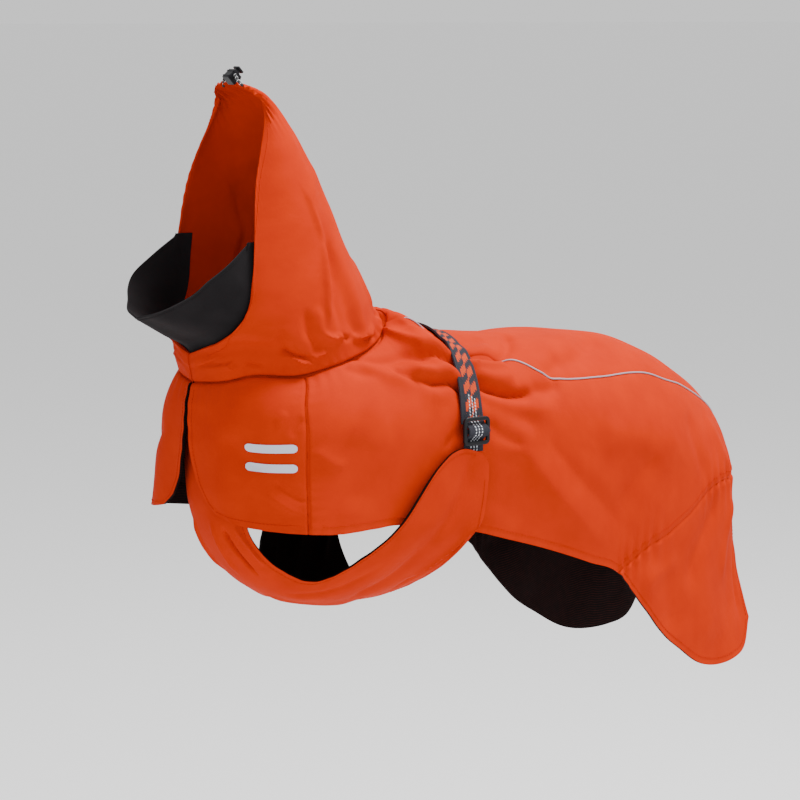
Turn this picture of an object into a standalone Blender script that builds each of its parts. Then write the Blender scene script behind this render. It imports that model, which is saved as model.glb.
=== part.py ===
"""Worn dog raincoat: hood, collar, body panels, belly panel, back strap and fittings.

Frame: metres, +Z up, tail toward +Y, head toward -Y, the wearer's left toward +X.
The origin lies on the inner side of the back cloth at the withers.
Tables hold millimetres; every mesh is written in metres.
"""
import math

import bpy
import numpy as np

MM = 0.001

# Walls and clearances, millimetres
COAT_WALL = 1.6
LINING_WALL = 1.0
COLLAR_WALL = 1.8
STRAP_WIDTH = 25.0
STRAP_WALL = 1.7
STRAP_LIFT = 1.9
FLAP_SWING = 19.0
FLAP_EDGE_SWING = 6.0
SEAM_HALF_GAP = 0.2
LAYER_GAP = 0.5
LINING_GAP = 1.6
CROWN_SHARE = 0.16
THROAT_RING = 0.93
COLLAR_ROOT = 9.0
COLLAR_INSET = 2.0
COLLAR_GAP = 2.4
COLLAR_SPAN = 0.29
COLLAR_OVERRUN = 2.6
STRAP_END = 0.955
PIPING_WIDTH = 2.6
PIPING_WALL = 1.0
BAR_WALL = 0.8
BAR_HEIGHT = 9.0
BAR_START = 68.0
BAR_END = 112.0
BAR_LEVELS = (1.10, 1.31)
CORD_DIAMETER = 2.6
TAB_WALL = 1.5
TONGUE_WIDTH = 21.0
TONGUE_Y = 19.5
TONGUE_X = 109.2
TONGUE_TOP_Z = -105.5
TONGUE_LOW_Z = -116.0
TONGUE_SLANT = 2.6
BUCKLE_WIDTH = 29.0
BUCKLE_HEIGHT = 26.0
BUCKLE_DEPTH = 3.4
BUCKLE_RAIL = 3.6
BUCKLE_BAR = 4.0
BUCKLE_X = 112.0
BUCKLE_Y = 20.5
BUCKLE_Z = -97.5
LOCK_CENTRE = (7.0, -171.0, 226.5)
LOCK_BORE = 4.0

# Stations run round the hem from the centre front (0) past the side to the tail edge (690).
SHOULDER_SEAM = 120.0
NECK_BACK = 275.0
PIPING_START = 260.0
HEM_NOTCH = 471.0
TAIL_EDGE = 690.0

# Body sections: station, apex y z, widest point x y, drop to it, hem x y z, fullness
BODY_SECTIONS = (
    (0, -176, -14, 0, -219, 68, 0, -216, -152, 0),
    (50, -168, -13, 48, -207, 76, 50, -202, -169, 0),
    (78, -160, -12, 70, -190, 80, 70, -187.5, -173, 0),
    (120, -136, -8, 95, -152, 84, 95, -151, -177.5, 0),
    (150, -112, -6, 102, -120, 88, 100, -122, -179.5, 0),
    (186, -80, -7, 105, -86, 93, 102, -86, -178.5, 1),
    (214, -54, -10, 105, -58, 96, 101.5, -58, -178, 2),
    (240, -33, -9, 105, -32, 96, 101.5, -32, -184, 3),
    (262, -22, -1, 105, -10, 98, 101.5, -10, -187.5, 3),
    (275, -14, 7, 105, 3, 102, 101.5, 3, -190, 2),
    (299, 30, -9, 105, 24, 92, 102, 22, -192, 2),
    (340, 75, -19.5, 110, 65, 92, 108, 61, -203, 3),
    (390, 122, -24, 113, 112, 96, 111, 106, -217, 4),
    (440, 170, -25, 114, 160, 100, 112, 155, -235, 4),
    (471, 205, -27.5, 113, 192, 104, 112, 190, -249, 4),
    (495, 232, -31, 112, 222, 106, 112, 212, -275, 4),
    (530, 267, -38.5, 109, 257, 108, 110, 248, -316, 3),
    (560, 296, -51, 105, 287, 108, 108, 274, -336, 3),
    (585, 321, -65, 100, 311, 106, 106, 298, -352, 2),
    (610, 342, -79, 94, 333, 100, 103, 320, -358, 0),
    (640, 358, -94, 85, 352, 92, 98, 350, -356, 0),
    (665, 367, -106, 75, 364, 80, 92, 369, -347, 0),
    (690, 373, -116, 66, 370, 68, 86, 380, -320, 0),
)

# Neck seam: station, share of the way from apex to widest point
NECK_SEAM = (
    (0, 0.86), (50, 0.80), (78, 0.745), (120, 0.775), (150, 0.735), (186, 0.64),
    (214, 0.51), (240, 0.35), (262, 0.19), (275, 0.0),
)

# Back panel edge under the piping: station, distance from the centre line
PIPING_LINE = (
    (250, 17), (262, 21), (275, 25), (288, 31), (299, 52), (312, 61), (345, 65), (362, 70),
    (374, 76), (384, 83), (395, 88), (412, 91), (430, 91), (460, 88), (507, 80), (547, 76),
    (569, 69), (620, 54), (690, 38),
)

# Gathered seam above the thigh wing: station, level (1 at the widest point, 2 at the hem)
GATHER_LINE = (
    (471, 2.0), (485, 1.82), (500, 1.64), (530, 1.42), (560, 1.24), (585, 1.08),
    (610, 0.99), (640, 0.93), (690, 0.86),
)

# Slit edge of a front panel: level, station
SLIT_LINE = ((0, 0.6), (0.6, 0.8), (1.0, 1.2), (1.35, 3), (1.7, 10), (1.9, 20), (2.0, 32))

# Centre line of the back strap: level, station
STRAP_LINE = (
    (0.00, 310), (0.10, 309.4), (0.22, 307.4), (0.386, 303.5), (0.55, 300), (0.72, 297),
    (0.87, 295), (1.00, 295.5), (1.20, 297),
)

# Hood cord: place, x y z
CORD_PATH = (
    (0.00, 25, -172.3, 215.5), (0.20, 19.5, -174, 220), (0.38, 13.5, -173, 224.6),
    (0.45, 11, -172.9, 224.8), (0.62, 3, -172.9, 224.8), (0.69, 0.5, -173, 224.6),
    (0.85, -7, -174.5, 221.5), (1.00, -15, -174, 219),
)

# Folds on both sides: start station and level, end station and level, width, depth
FOLDS = (
    (313, -0.30, 295, 1.25, 19, -4.0),
    (262, 0.42, 300, 0.52, 7, 1.8),
    (250, 0.52, 304, 0.63, 6, -3.5),
    (245, 0.66, 300, 0.74, 9, 1.5),
    (258, 0.80, 306, 0.88, 7, -4.0),
    (308, 0.74, 372, 0.86, 8, -4.0),
    (306, 0.52, 356, 0.50, 9, 2.0),
    (306, 0.34, 350, 0.24, 9, -3.0),
    (380, 0.44, 460, 0.26, 18, 2.0),
    (420, 0.60, 520, 0.50, 20, -1.5),
    (340, 1.10, 330, 1.80, 22, -2.0),
    (420, 1.05, 400, 1.85, 30, 1.5),
    (170, 0.95, 160, 1.75, 24, -2.0),
    (520, 1.55, 545, 1.95, 16, -2.5),
    (575, 1.30, 600, 1.90, 18, 2.0),
    (625, 1.15, 640, 1.80, 14, -2.0),
)

# Hood rings from crown to neck: ring, back y z, face x y z, half width
HOOD_RINGS = (
    (0.00, -172, 218, 36, -158, 201, 37),
    (0.10, -149, 211.5, 44, -162, 185, 46),
    (0.25, -121, 180, 52, -171, 160, 56),
    (0.40, -99, 145, 58, -180, 131, 63),
    (0.54, -79, 108, 63, -184.5, 100, 69),
    (0.67, -61, 70, 67, -187, 63, 74),
    (0.76, -48, 44, 68.5, -189.5, 33, 78),
    (0.83, -38, 28, 63, -202, 9, 81),
    (0.89, -30, 18, 44, -213.5, -8, 82),
    (0.93, -23, 12, 4.0, -217, -20, 81),
    (1.00, -14, 7, 1.0, -213, -45, 78),
)

# Collar: place from centre front (0) to the cheek (1), free edge x y z, bulge
COLLAR_EDGE = (
    (0.00, 0, -269, 13, 0),
    (0.16, 24, -264, 18.5, 1),
    (0.30, 40, -254.5, 26, 2),
    (0.45, 54, -246, 35, 3),
    (0.60, 64, -234, 47, 3),
    (0.78, 66, -213, 62.5, 2),
    (1.00, 62.0, -191, 79, 0),
)

# Belly panel sections from the neck seam to its rear edge: place, centre y z,
# then x y z at a quarter, at the low side, at the high side and at the edge
BELLY_SECTIONS = (
    (0.00, -206, -58, 14, -205, -58, 27, -200, -57.5, 39, -191, -57, 49, -178, -56),
    (0.12, -209, -104, 14, -208, -104, 28, -203, -103, 41, -194, -102, 51, -181, -101),
    (0.24, -210, -144, 14, -209, -144, 27, -204, -143, 39, -196, -142, 48, -185, -140),
    (0.34, -205, -175, 13, -204, -175, 24, -200, -174, 35, -193, -172, 43, -184, -169),
    (0.44, -191, -204, 12, -190, -204, 22, -187, -202, 32, -181, -199, 40, -172, -194),
    (0.54, -164, -233, 13, -163, -232, 24, -160, -229, 34, -155, -225, 42, -147, -218),
    (0.64, -130, -252, 16, -129, -251, 30, -126, -249, 43, -121, -242, 54, -115, -231),
    (0.73, -98, -260, 24, -96, -258.5, 47, -93, -251, 68, -89, -234, 86, -86, -208),
    (0.81, -76, -262.5, 31, -73, -259.5, 64, -68, -243, 98.5, -60, -208, 111, -57, -173),
    (0.88, -58, -262, 35, -53, -258, 74, -44, -236, 110, -33, -187, 111.6, -20, -127),
    (0.94, -42, -260, 38, -34, -256, 86, -19, -225, 111, -1, -181, 111.8, 4, -113),
    (1.00, -24, -258, 40, -14, -252, 93, 3, -218, 111.3, 27, -178, 111.8, 35, -121),
)

# Colours as linear red, green, blue
ORANGE = (0.92, 0.095, 0.008)
BLACK_CLOTH = (0.012, 0.010, 0.011)
MESH_BLACK = (0.016, 0.007, 0.006)
WEBBING = (0.075, 0.072, 0.088)
PIPING = (0.55, 0.40, 0.42)
REFLECTIVE = (0.58, 0.61, 0.72)
PLASTIC = (0.014, 0.014, 0.017)
CORD = (0.03, 0.03, 0.033)


def smooth(table, places):
    """Cubic curve through the rows of a table; the first column is the place."""
    rows = np.asarray(table, dtype=float)
    knots = rows[:, 0]
    values = rows[:, 1:]
    slopes = np.gradient(values, knots, axis=0)
    places = np.clip(np.asarray(places, dtype=float), knots[0], knots[-1])
    first = np.clip(np.searchsorted(knots, places, side="right") - 1, 0, len(knots) - 2)
    span = knots[first + 1] - knots[first]
    t = ((places - knots[first]) / span)[..., None]
    span = span[..., None]
    rise = 3 * t ** 2 - 2 * t ** 3
    out = values[first] * (1 - rise) + values[first + 1] * rise
    out += slopes[first] * span * (t ** 3 - 2 * t ** 2 + t)
    out += slopes[first + 1] * span * (t ** 3 - t ** 2)
    return out


def straight(table, places):
    """Straight-line reading of a two-column table."""
    rows = np.asarray(table, dtype=float)
    return np.interp(places, rows[:, 0], rows[:, 1])


def soft_step(t):
    t = np.clip(t, 0.0, 1.0)
    return t * t * (3 - 2 * t)


def body_base(station, level, side):
    """Unfolded body cloth: level 0 on the spine, 1 at the widest point, 2 at the hem."""
    row = smooth(BODY_SECTIONS, station)
    apex_y, apex_z, wide_x, wide_y, drop = (row[..., k] for k in range(5))
    hem_x, hem_y, hem_z, full = (row[..., k] for k in range(5, 9))
    turn = np.clip(level, 0.0, 1.0) * math.pi / 2
    across = np.sin(turn)
    down = 1 - np.cos(turn)
    swell = full * np.sin(2 * turn) ** 2 * 0.707
    fall = np.clip(level - 1, 0.0, None)
    reach = np.sqrt(wide_x ** 2 + (wide_y - apex_y) ** 2)
    x = wide_x * across + swell * wide_x / reach + (hem_x - wide_x) * fall ** 2
    y = apex_y + (wide_y - apex_y) * across + (hem_y - wide_y) * fall ** 2
    y = y + swell * (wide_y - apex_y) / reach
    z = apex_z - drop * down + swell + (hem_z - apex_z + drop) * fall
    return np.stack([x * side, y, z], axis=-1)


def unit(vectors):
    return vectors / np.maximum(np.linalg.norm(vectors, axis=-1, keepdims=True), 1e-9)


def body_normal(station, level, side):
    """Outward unit normal of the unfolded body cloth."""
    low = np.clip(station - 1.5, 0, TAIL_EDGE)
    high = np.clip(station + 1.5, 0, TAIL_EDGE)
    along = body_base(high, level, side) - body_base(low, level, side)
    up = np.clip(level - 0.02, 0.001, None)
    across = body_base(station, level + 0.02, side) - body_base(station, up, side)
    return unit(np.cross(across, along) * side[..., None])


def fold_depth(station, level):
    """Height of the folds on the body cloth; troughs are negative."""
    total = np.zeros_like(station)
    for start_s, start_q, end_s, end_q, width, depth in FOLDS:
        run = np.array([end_s - start_s, (end_q - start_q) * 110.0])
        length = math.hypot(run[0], run[1])
        run = run / length
        off_s = station - start_s
        off_q = (level - start_q) * 110.0
        along = (off_s * run[0] + off_q * run[1]) / length
        aside = off_q * run[0] - off_s * run[1]
        ends = soft_step((along + 0.08) / 0.3) * soft_step((1.08 - along) / 0.3)
        total = total + depth * ends * np.exp(-(aside / width) ** 2)
    return total


def flap_flare(station, level, side):
    """Outward swing of the right front panel, which stands away at its hem."""
    round_to = np.clip((SHOULDER_SEAM - station) / SHOULDER_SEAM, 0.0, 1.0)
    swing = FLAP_EDGE_SWING * round_to + FLAP_SWING * np.sin(math.pi * round_to) ** 2
    return swing * (np.clip(level, 0, 2) / 2.0) ** 1.3 * (side < 0)


def body_cloth(station, level, side, lift=0.0, folds=1.0):
    """Folded outer face of the body cloth, moved out by lift."""
    station = np.asarray(station, dtype=float)
    level = np.asarray(level, dtype=float)
    side = np.asarray(side, dtype=float) * np.ones_like(station)
    height = folds * fold_depth(station, level) + flap_flare(station, level, side) + lift
    point = body_base(station, level, side)
    point = point + body_normal(station, level, side) * height[..., None]
    point[..., 2] += 0.22 * flap_flare(station, level, side)
    return point


def level_at_share(share):
    """Level at which the section has covered this share of its half width."""
    return np.arcsin(np.clip(share, 0.0, 1.0)) * 2 / math.pi


def neck_level(station):
    share = smooth(NECK_SEAM, station)[..., 0]
    return np.where(station >= NECK_BACK, 0.0, level_at_share(share))


def piping_level(station):
    half = smooth(PIPING_LINE, station)[..., 0]
    wide = smooth(BODY_SECTIONS, station)[..., 2]
    return level_at_share(half / wide)


def neck_point(station, side):
    station = np.asarray(station, dtype=float)
    return body_cloth(station, neck_level(station), side)


# ---------------------------------------------------------------- mesh helpers

def material(name, colour, roughness, metallic=0.0):
    made = bpy.data.materials.get(name) or bpy.data.materials.new(name)
    made.use_nodes = True
    shader = made.node_tree.nodes["Principled BSDF"]
    shader.inputs["Base Color"].default_value = (*colour, 1.0)
    shader.inputs["Roughness"].default_value = roughness
    shader.inputs["Metallic"].default_value = metallic
    made.diffuse_color = (*colour, 1.0)
    return made


def add_object(name, verts, faces, look):
    mesh = bpy.data.meshes.new(name)
    mesh.from_pydata([tuple(v) for v in np.asarray(verts) * MM], [], faces)
    mesh.validate()
    mesh.update()
    made = bpy.data.objects.new(name, mesh)
    made.data.materials.append(look)
    COAT.objects.link(made)
    return made


def grid_faces(rows, cols, flip):
    faces = []
    for i in range(rows - 1):
        for j in range(cols - 1):
            a = i * cols + j
            quad = (a, a + 1, a + cols + 1, a + cols)
            faces.append(quad[::-1] if flip else quad)
    return faces


def shell(name, outer, inner, look, flip=False):
    """Closed cloth piece between an outer and an inner grid of points."""
    rows, cols = outer.shape[:2]
    count = rows * cols
    loop = [j for j in range(cols)]
    loop += [i * cols + cols - 1 for i in range(1, rows)]
    loop += [(rows - 1) * cols + j for j in range(cols - 2, -1, -1)]
    loop += [i * cols for i in range(rows - 2, 0, -1)]
    rim = [(b, a, a + count, b + count) for a, b in zip(loop, loop[1:] + loop[:1])]
    back = [tuple(k + count for k in face[::-1]) for face in grid_faces(rows, cols, False)]
    faces = grid_faces(rows, cols, False) + back + rim
    if flip:
        faces = [face[::-1] for face in faces]
    verts = np.concatenate([outer.reshape(-1, 3), inner.reshape(-1, 3)])
    return add_object(name, verts, faces, look)


def sheet(name, grid, wall, look, flip=False):
    """Free cloth piece: an outer grid of points thickened inward by the wall."""
    rows, cols = grid.shape[:2]
    made = add_object(name, grid.reshape(-1, 3), grid_faces(rows, cols, flip), look)
    thick = made.modifiers.new("wall", "SOLIDIFY")
    thick.thickness = wall * MM
    thick.offset = -1.0
    thick.use_rim = True
    return made


def spread(start, end, count):
    return np.linspace(start, end, count)


# ---------------------------------------------------------------- body panels

def side_stations():
    """Stations of a side panel: close together near the strap, wider elsewhere."""
    near = spread(SHOULDER_SEAM + SEAM_HALF_GAP, 235, 8)[:-1]
    middle = spread(235, 385, 19)[:-1]
    rear = spread(385, HEM_NOTCH, 6)[:-1]
    tail = spread(HEM_NOTCH, TAIL_EDGE, 12)
    return np.concatenate([near, middle, rear, tail])


def side_limits(station):
    """Upper and lower level of a side panel, each drawn in by half a seam gap."""
    trim = SEAM_HALF_GAP / 105.0
    upper = np.maximum(neck_level(station), piping_level(station)) + trim
    gather = smooth(GATHER_LINE, station)[..., 0]
    lower = np.where(station < HEM_NOTCH, 2.0, gather - 1.5 * trim)
    return upper, lower


def side_grid(side, lift=0.0, count=12):
    station = side_stations()
    upper, lower = side_limits(station)
    share = spread(0, 1, count) ** 0.85
    level = upper[:, None] + (lower - upper)[:, None] * share[None, :]
    return body_cloth(np.repeat(station[:, None], count, 1), level, side, lift)


def front_grid(side, lift=0.0, rows=11, cols=12):
    share = spread(0.0, 1.0, rows)[:, None]
    down = spread(0, 1, cols)[None, :]
    right = SHOULDER_SEAM - SEAM_HALF_GAP
    first = straight(SLIT_LINE, 0.6 + 1.4 * down)
    station = first + (right - first) * share
    upper = neck_level(station) + SEAM_HALF_GAP / 60.0
    level = upper + (2.0 - upper) * down
    station = straight(SLIT_LINE, level) * (1 - share) + right * share
    return body_cloth(station, level, side, lift)


def back_stations():
    """Side panel stations from the point where the piping meets the neck seam."""
    every = side_stations()
    return every[every > PIPING_START - 1.0]


def back_grid(lift=0.0, half_count=5):
    edge = back_stations()
    rows = (edge - edge[0]) / (TAIL_EDGE - edge[0])
    across = spread(-1, 1, 2 * half_count + 1)
    front = NECK_BACK + 1.0 - (NECK_BACK + 1.0 - edge[0]) * np.abs(across) ** 1.6
    station = front[None, :] + (TAIL_EDGE - front[None, :]) * rows[:, None]
    level = (piping_level(station) - SEAM_HALF_GAP / 105.0) * np.abs(across)[None, :]
    side = np.where(across < 0, -1.0, 1.0)[None, :] * np.ones_like(station)
    return body_cloth(station, np.maximum(level, 0.0), side, lift)


def wing_grid(side, lift=0.0, rows=12, cols=8):
    station = spread(HEM_NOTCH + 3.0, TAIL_EDGE, rows)
    gather = smooth(GATHER_LINE, station)[..., 0] + 1.5 * SEAM_HALF_GAP / 105.0
    share = spread(0, 1, cols)
    level = gather[:, None] + (2.0 - gather)[:, None] * share[None, :]
    return body_cloth(np.repeat(station[:, None], cols, 1), level, side, lift)


# ---------------------------------------------------------------- hood and collar

def face_cut(ring):
    """Place round a hood ring where the face edge cuts it."""
    row = smooth(HOOD_RINGS, ring)
    return 0.5 + 0.5 * np.sqrt(np.clip(1 - row[..., 2] / row[..., 5], 0.0, 1.0))


def hood_ring_points(ring, around, side):
    """Full hood rings: ring 0 at the crown, 1 at the neck; around 0 back, 1 front."""
    row = smooth(HOOD_RINGS, ring)
    back_y, back_z, face_x, face_y, face_z, wide = (row[..., k] for k in range(6))
    cut = face_cut(ring)
    share = (3 * around ** 2 - 2 * around ** 3) / (3 * cut ** 2 - 2 * cut ** 3)
    x = 4 * wide * around * (1 - around)
    y = back_y + (face_y - back_y) * share
    z = back_z + (face_z - back_z) * share
    return np.stack([x * side, y, z], axis=-1)


def neck_by_length(share, side):
    """Point of the neck seam at a share of its length from the back to the front."""
    stations = np.linspace(NECK_BACK, 0.0, 80)
    points = neck_point(stations, side)
    steps = np.linalg.norm(np.diff(points, axis=0), axis=1)
    run = np.concatenate([[0.0], np.cumsum(steps)])
    return neck_point(np.interp(share, run / run[-1], stations), side)


def hood_plain(ring, around, side):
    """Hood cloth without creases, drawn on to the neck seam at its foot."""
    point = hood_ring_points(ring, around, side)
    lowest = hood_ring_points(np.ones_like(ring), around, side)
    pull = soft_step((ring - 0.72) / 0.28) ** 1.5
    return point + (neck_by_length(around, side) - lowest) * pull[..., None]


def hood_creases(ring, around):
    """One long trough down the cheek, a ridge behind it and a shallow ear line."""
    low = soft_step((ring - 0.50) / 0.3) * soft_step((1.0 - ring) / 0.10)
    cheek = -3.2 * np.exp(-((around - 0.345) / 0.035) ** 2) * low
    ridge = 1.6 * np.exp(-((around - 0.285) / 0.035) ** 2) * low
    ear = -1.2 * np.exp(-((around - 0.22 - 0.1 * ring) / 0.05) ** 2)
    ear = ear * soft_step((ring - 0.2) / 0.1) * soft_step((0.7 - ring) / 0.15)
    return cheek + ridge + ear


def hood_cloth(ring, around, side, lift=0.0):
    """Creased outer face of the hood, moved out by lift."""
    ahead = hood_plain(np.clip(ring + 0.012, 0, 1), around, side)
    behind = hood_plain(np.clip(ring - 0.012, 0, 1), around, side)
    right = hood_plain(ring, np.clip(around + 0.012, 0, 1), side)
    left = hood_plain(ring, np.clip(around - 0.012, 0, 1), side)
    normal = unit(np.cross(right - left, ahead - behind) * side)
    height = lift + hood_creases(ring, around)
    return hood_plain(ring, around, side) + normal * height[..., None]


def hood_place(place, rise, side, lift=0.0):
    """Hood point by place along the face edge (0 crown, 1 throat) and rise from the neck."""
    place, rise = np.broadcast_arrays(np.asarray(place, float), np.asarray(rise, float))
    crown = np.clip(place / CROWN_SHARE, 0.0, 1.0)
    down = np.clip((place - CROWN_SHARE) / (1 - CROWN_SHARE), 0.0, 1.0)
    edge_ring = THROAT_RING * down
    edge_around = face_cut(edge_ring) * crown
    ring = 1 + (edge_ring - 1) * rise
    around = place + (edge_around - place) * rise
    return hood_cloth(ring, around, side, lift)


def hood_grid(side, lift=0.0, rows=18):
    crown = spread(0.0, CROWN_SHARE, 4)
    cheek = spread(CROWN_SHARE, 1.0 - COLLAR_SPAN, 8)
    place = np.concatenate([crown[:-1], cheek[:-1], spread(1.0 - COLLAR_SPAN, 1.0, 9)])
    place = place[None, :]
    rise = spread(0.0, 1.0, rows)[::-1, None]
    points = hood_place(place, rise, side, lift)
    points[:, 0, 0] = side * SEAM_HALF_GAP
    points[:, -1, 0] = side * SEAM_HALF_GAP
    points[-1, :, 2] += 2 * SEAM_HALF_GAP
    return points


def collar_side(side, cols=9):
    """Collar from the centre front to the cheek, root first and free edge last."""
    share = spread(0.0, 1.0, cols)
    rim = hood_place(1.0 - COLLAR_SPAN * share, 1.0, side, -(COAT_WALL + COLLAR_GAP))
    row = smooth(COLLAR_EDGE, share)
    edge = row[:, :3] * np.array([side, 1.0, 1.0])
    rearward = np.stack([0 * share, 1 + 0 * share, -1.6 * (1 - share) ** 2], axis=-1)
    rearward = unit(rearward)
    root = rim + rearward * COLLAR_ROOT
    root[:, 0] -= side * COLLAR_INSET
    ahead = rim - rearward * COLLAR_OVERRUN
    middle = (ahead + edge) / 2
    middle[:, 2] -= row[:, 3]
    for row_points in (root, rim, ahead, middle, edge):
        row_points[0, 0] = 0.0
    return np.stack([root, rim, ahead, middle, edge])


def collar_grid():
    left = collar_side(1.0)
    right = collar_side(-1.0)
    return np.concatenate([right[:, ::-1], left[:, 1:]], axis=1)


# ---------------------------------------------------------------- belly panel and trims

def belly_grid(lift=0.0, rows=26, half_cols=8):
    places = spread(0.0, 1.0, rows)
    across = spread(-1.0, 1.0, 2 * half_cols + 1)
    row = smooth(BELLY_SECTIONS, places)
    grid = np.zeros((rows, len(across), 3))
    for i in range(rows):
        half = [(0.0, 0.0, row[i, 0], row[i, 1])]
        for k in range(4):
            x, y, z = row[i, 2 + 3 * k:5 + 3 * k]
            half.append(((k + 1) / 4, x, y, z))
        other = [(-q, -x, y, z) for q, x, y, z in half[:0:-1]]
        grid[i] = smooth(other + half, across)
    if lift:
        along = np.gradient(grid, axis=0)
        aside = np.gradient(grid, axis=1)
        grid = grid + unit(np.cross(along, aside)) * lift
    return grid


def strap_station(level):
    return smooth(STRAP_LINE, np.abs(level))[..., 0]


def strap_grid(lift, cols=47):
    """Back strap from buckle to buckle, lying in the cloth it cinches."""
    level = spread(-STRAP_END, STRAP_END, cols)
    side = np.where(level < 0, -1.0, 1.0)
    centre = body_cloth(strap_station(level), np.abs(level), side, lift, 0.0)
    station = strap_station(level)
    ahead = body_base(station + 2.0, np.abs(level), side)
    along = np.gradient(centre, axis=0)
    rearward = unit(ahead - body_base(station - 2.0, np.abs(level), side))
    rearward = unit(rearward - unit(along) * (rearward * unit(along)).sum(-1, keepdims=True))
    half = STRAP_WIDTH / 2 * rearward
    return np.stack([centre - half, centre, centre + half])


def piping_grid(side, lift):
    station = back_stations()[1:]
    level = piping_level(station)
    half = PIPING_WIDTH / 2 / 105.0
    inner = body_cloth(station, level - half, side, lift)
    outer = body_cloth(station, level + half, side, lift)
    return np.stack([inner, outer])


def bar_grid(side, middle, lift, cols=9):
    """Short reflective bar with rounded ends on a front panel."""
    station = spread(BAR_START, BAR_END, cols)
    from_end = np.minimum(station - BAR_START, BAR_END - station) + 0.6
    radius = BAR_HEIGHT / 2
    half = np.sqrt(np.clip(1 - (1 - np.clip(from_end / radius, 0, 1)) ** 2, 0, 1)) * radius
    rows = [body_cloth(station, middle + k * half / 100.0, side, lift) for k in (-1, 0, 1)]
    return np.stack(rows)


def tongue_grid(side):
    """Webbing tongue between the belly wing's tab and the buckle's lower bar."""
    high = np.array([TONGUE_X * side, TONGUE_Y, TONGUE_TOP_Z])
    low = np.array([TONGUE_X * side, TONGUE_Y, TONGUE_LOW_Z])
    half = np.array([0.0, TONGUE_WIDTH / 2, 0.0])
    slant = np.array([0.0, 0.0, TONGUE_SLANT])
    top = [high - half, high, high + half]
    foot = [low - half + slant, low, low + half - slant]
    return np.array([top, foot])


def slot_frame(name, side, look):
    """Ladder-lock buckle: a flat frame with two slots, bevelled."""
    half_w = BUCKLE_WIDTH / 2
    half_h = BUCKLE_HEIGHT / 2
    ys = (-half_w, -half_w + BUCKLE_RAIL, half_w - BUCKLE_RAIL, half_w)
    slot = (BUCKLE_HEIGHT - 3 * BUCKLE_BAR) / 2
    zs = (-half_h, -half_h + BUCKLE_BAR, -BUCKLE_BAR / 2, BUCKLE_BAR / 2,
          half_h - BUCKLE_BAR, half_h)
    verts = [(0.0, y, z) for z in zs for y in ys]
    faces = []
    for i in range(5):
        for j in range(3):
            if j == 1 and i in (1, 3):
                continue
            a = i * 4 + j
            faces.append((a, a + 1, a + 5, a + 4))
    made = add_object(name, verts, faces, look)
    made.location = (side * BUCKLE_X * MM, BUCKLE_Y * MM, BUCKLE_Z * MM)
    thick = made.modifiers.new("depth", "SOLIDIFY")
    thick.thickness = BUCKLE_DEPTH * MM
    thick.offset = 0.0
    edge = made.modifiers.new("edges", "BEVEL")
    edge.width = 0.5 * MM
    edge.segments = 1
    edge.limit_method = "ANGLE"
    return made


def cord_lock(body_look, button_look):
    """Sprung cord lock on the crown: a barrel with a button above it."""
    tilt = (math.radians(-48), 0.0, 0.0)
    axis = np.array([0.0, math.sin(math.radians(48)), math.cos(math.radians(48))])
    centre = np.array(LOCK_CENTRE)
    parts = (("cord_lock_barrel", body_look, 5.8, 10.5, -2.6),
             ("cord_lock_button", button_look, 4.6, 4.6, 5.4))
    for name, look, radius, height, shift in parts:
        bpy.ops.mesh.primitive_cylinder_add(
            vertices=16, radius=radius * MM, depth=height * MM,
            location=tuple((centre + axis * shift) * MM), rotation=tilt)
        made = bpy.context.object
        made.name = name
        made.data.name = name
        made.data.materials.append(look)
        edge = made.modifiers.new("edges", "BEVEL")
        edge.width = 0.9 * MM
        edge.segments = 2
        edge.limit_method = "ANGLE"
        if name == "cord_lock_barrel":
            bore = cord_bore(tuple((centre + axis * shift) * MM))
            cut = made.modifiers.new("bore", "BOOLEAN")
            cut.object = bore
            cut.operation = "DIFFERENCE"
            cut.solver = "EXACT"
        move_to(made, COAT)


def move_to(item, collection):
    for holder in list(item.users_collection):
        holder.objects.unlink(item)
    collection.objects.link(item)


def cord_bore(centre):
    """Cross bore of the cord lock, a cutter that is not shown."""
    bpy.ops.mesh.primitive_cylinder_add(
        vertices=16, radius=LOCK_BORE / 2 * MM, depth=30.0 * MM,
        location=centre, rotation=(0.0, math.pi / 2, 0.0))
    bore = bpy.context.object
    bore.name = "cord_lock_bore"
    bore.display_type = "WIRE"
    bore.hide_render = True
    move_to(bore, CUTTERS)
    return bore


def hood_cord(look):
    """Elastic cord along the crown edge, out of the casing on each side into the lock."""
    curve = bpy.data.curves.new("hood_cord", "CURVE")
    curve.dimensions = "3D"
    curve.bevel_depth = CORD_DIAMETER / 2 * MM
    curve.bevel_resolution = 2
    curve.use_fill_caps = True
    line = smooth(CORD_PATH, np.linspace(0.0, 1.0, 20))
    spline = curve.splines.new("POLY")
    spline.points.add(len(line) - 1)
    for point, place in zip(spline.points, line):
        point.co = (*(place * MM), 1.0)
    made = bpy.data.objects.new("hood_cord", curve)
    curve.materials.append(look)
    COAT.objects.link(made)


# ---------------------------------------------------------------- build

def clear_scene():
    for item in list(bpy.data.objects):
        bpy.data.objects.remove(item, do_unlink=True)


def sides():
    return (("left", 1.0), ("right", -1.0))


def build_body():
    orange = material("orange_shell_cloth", ORANGE, 0.72)
    for label, side in sides():
        for name, grid in (("side_panel_", side_grid), ("front_panel_", front_grid),
                           ("thigh_wing_", wing_grid), ("hood_", hood_grid)):
            shell(name + label, grid(side), grid(side, -COAT_WALL), orange, side < 0)
    shell("back_panel", back_grid(), back_grid(-COAT_WALL), orange)
    shell("belly_panel", belly_grid(), belly_grid(-COAT_WALL), orange, True)


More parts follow.
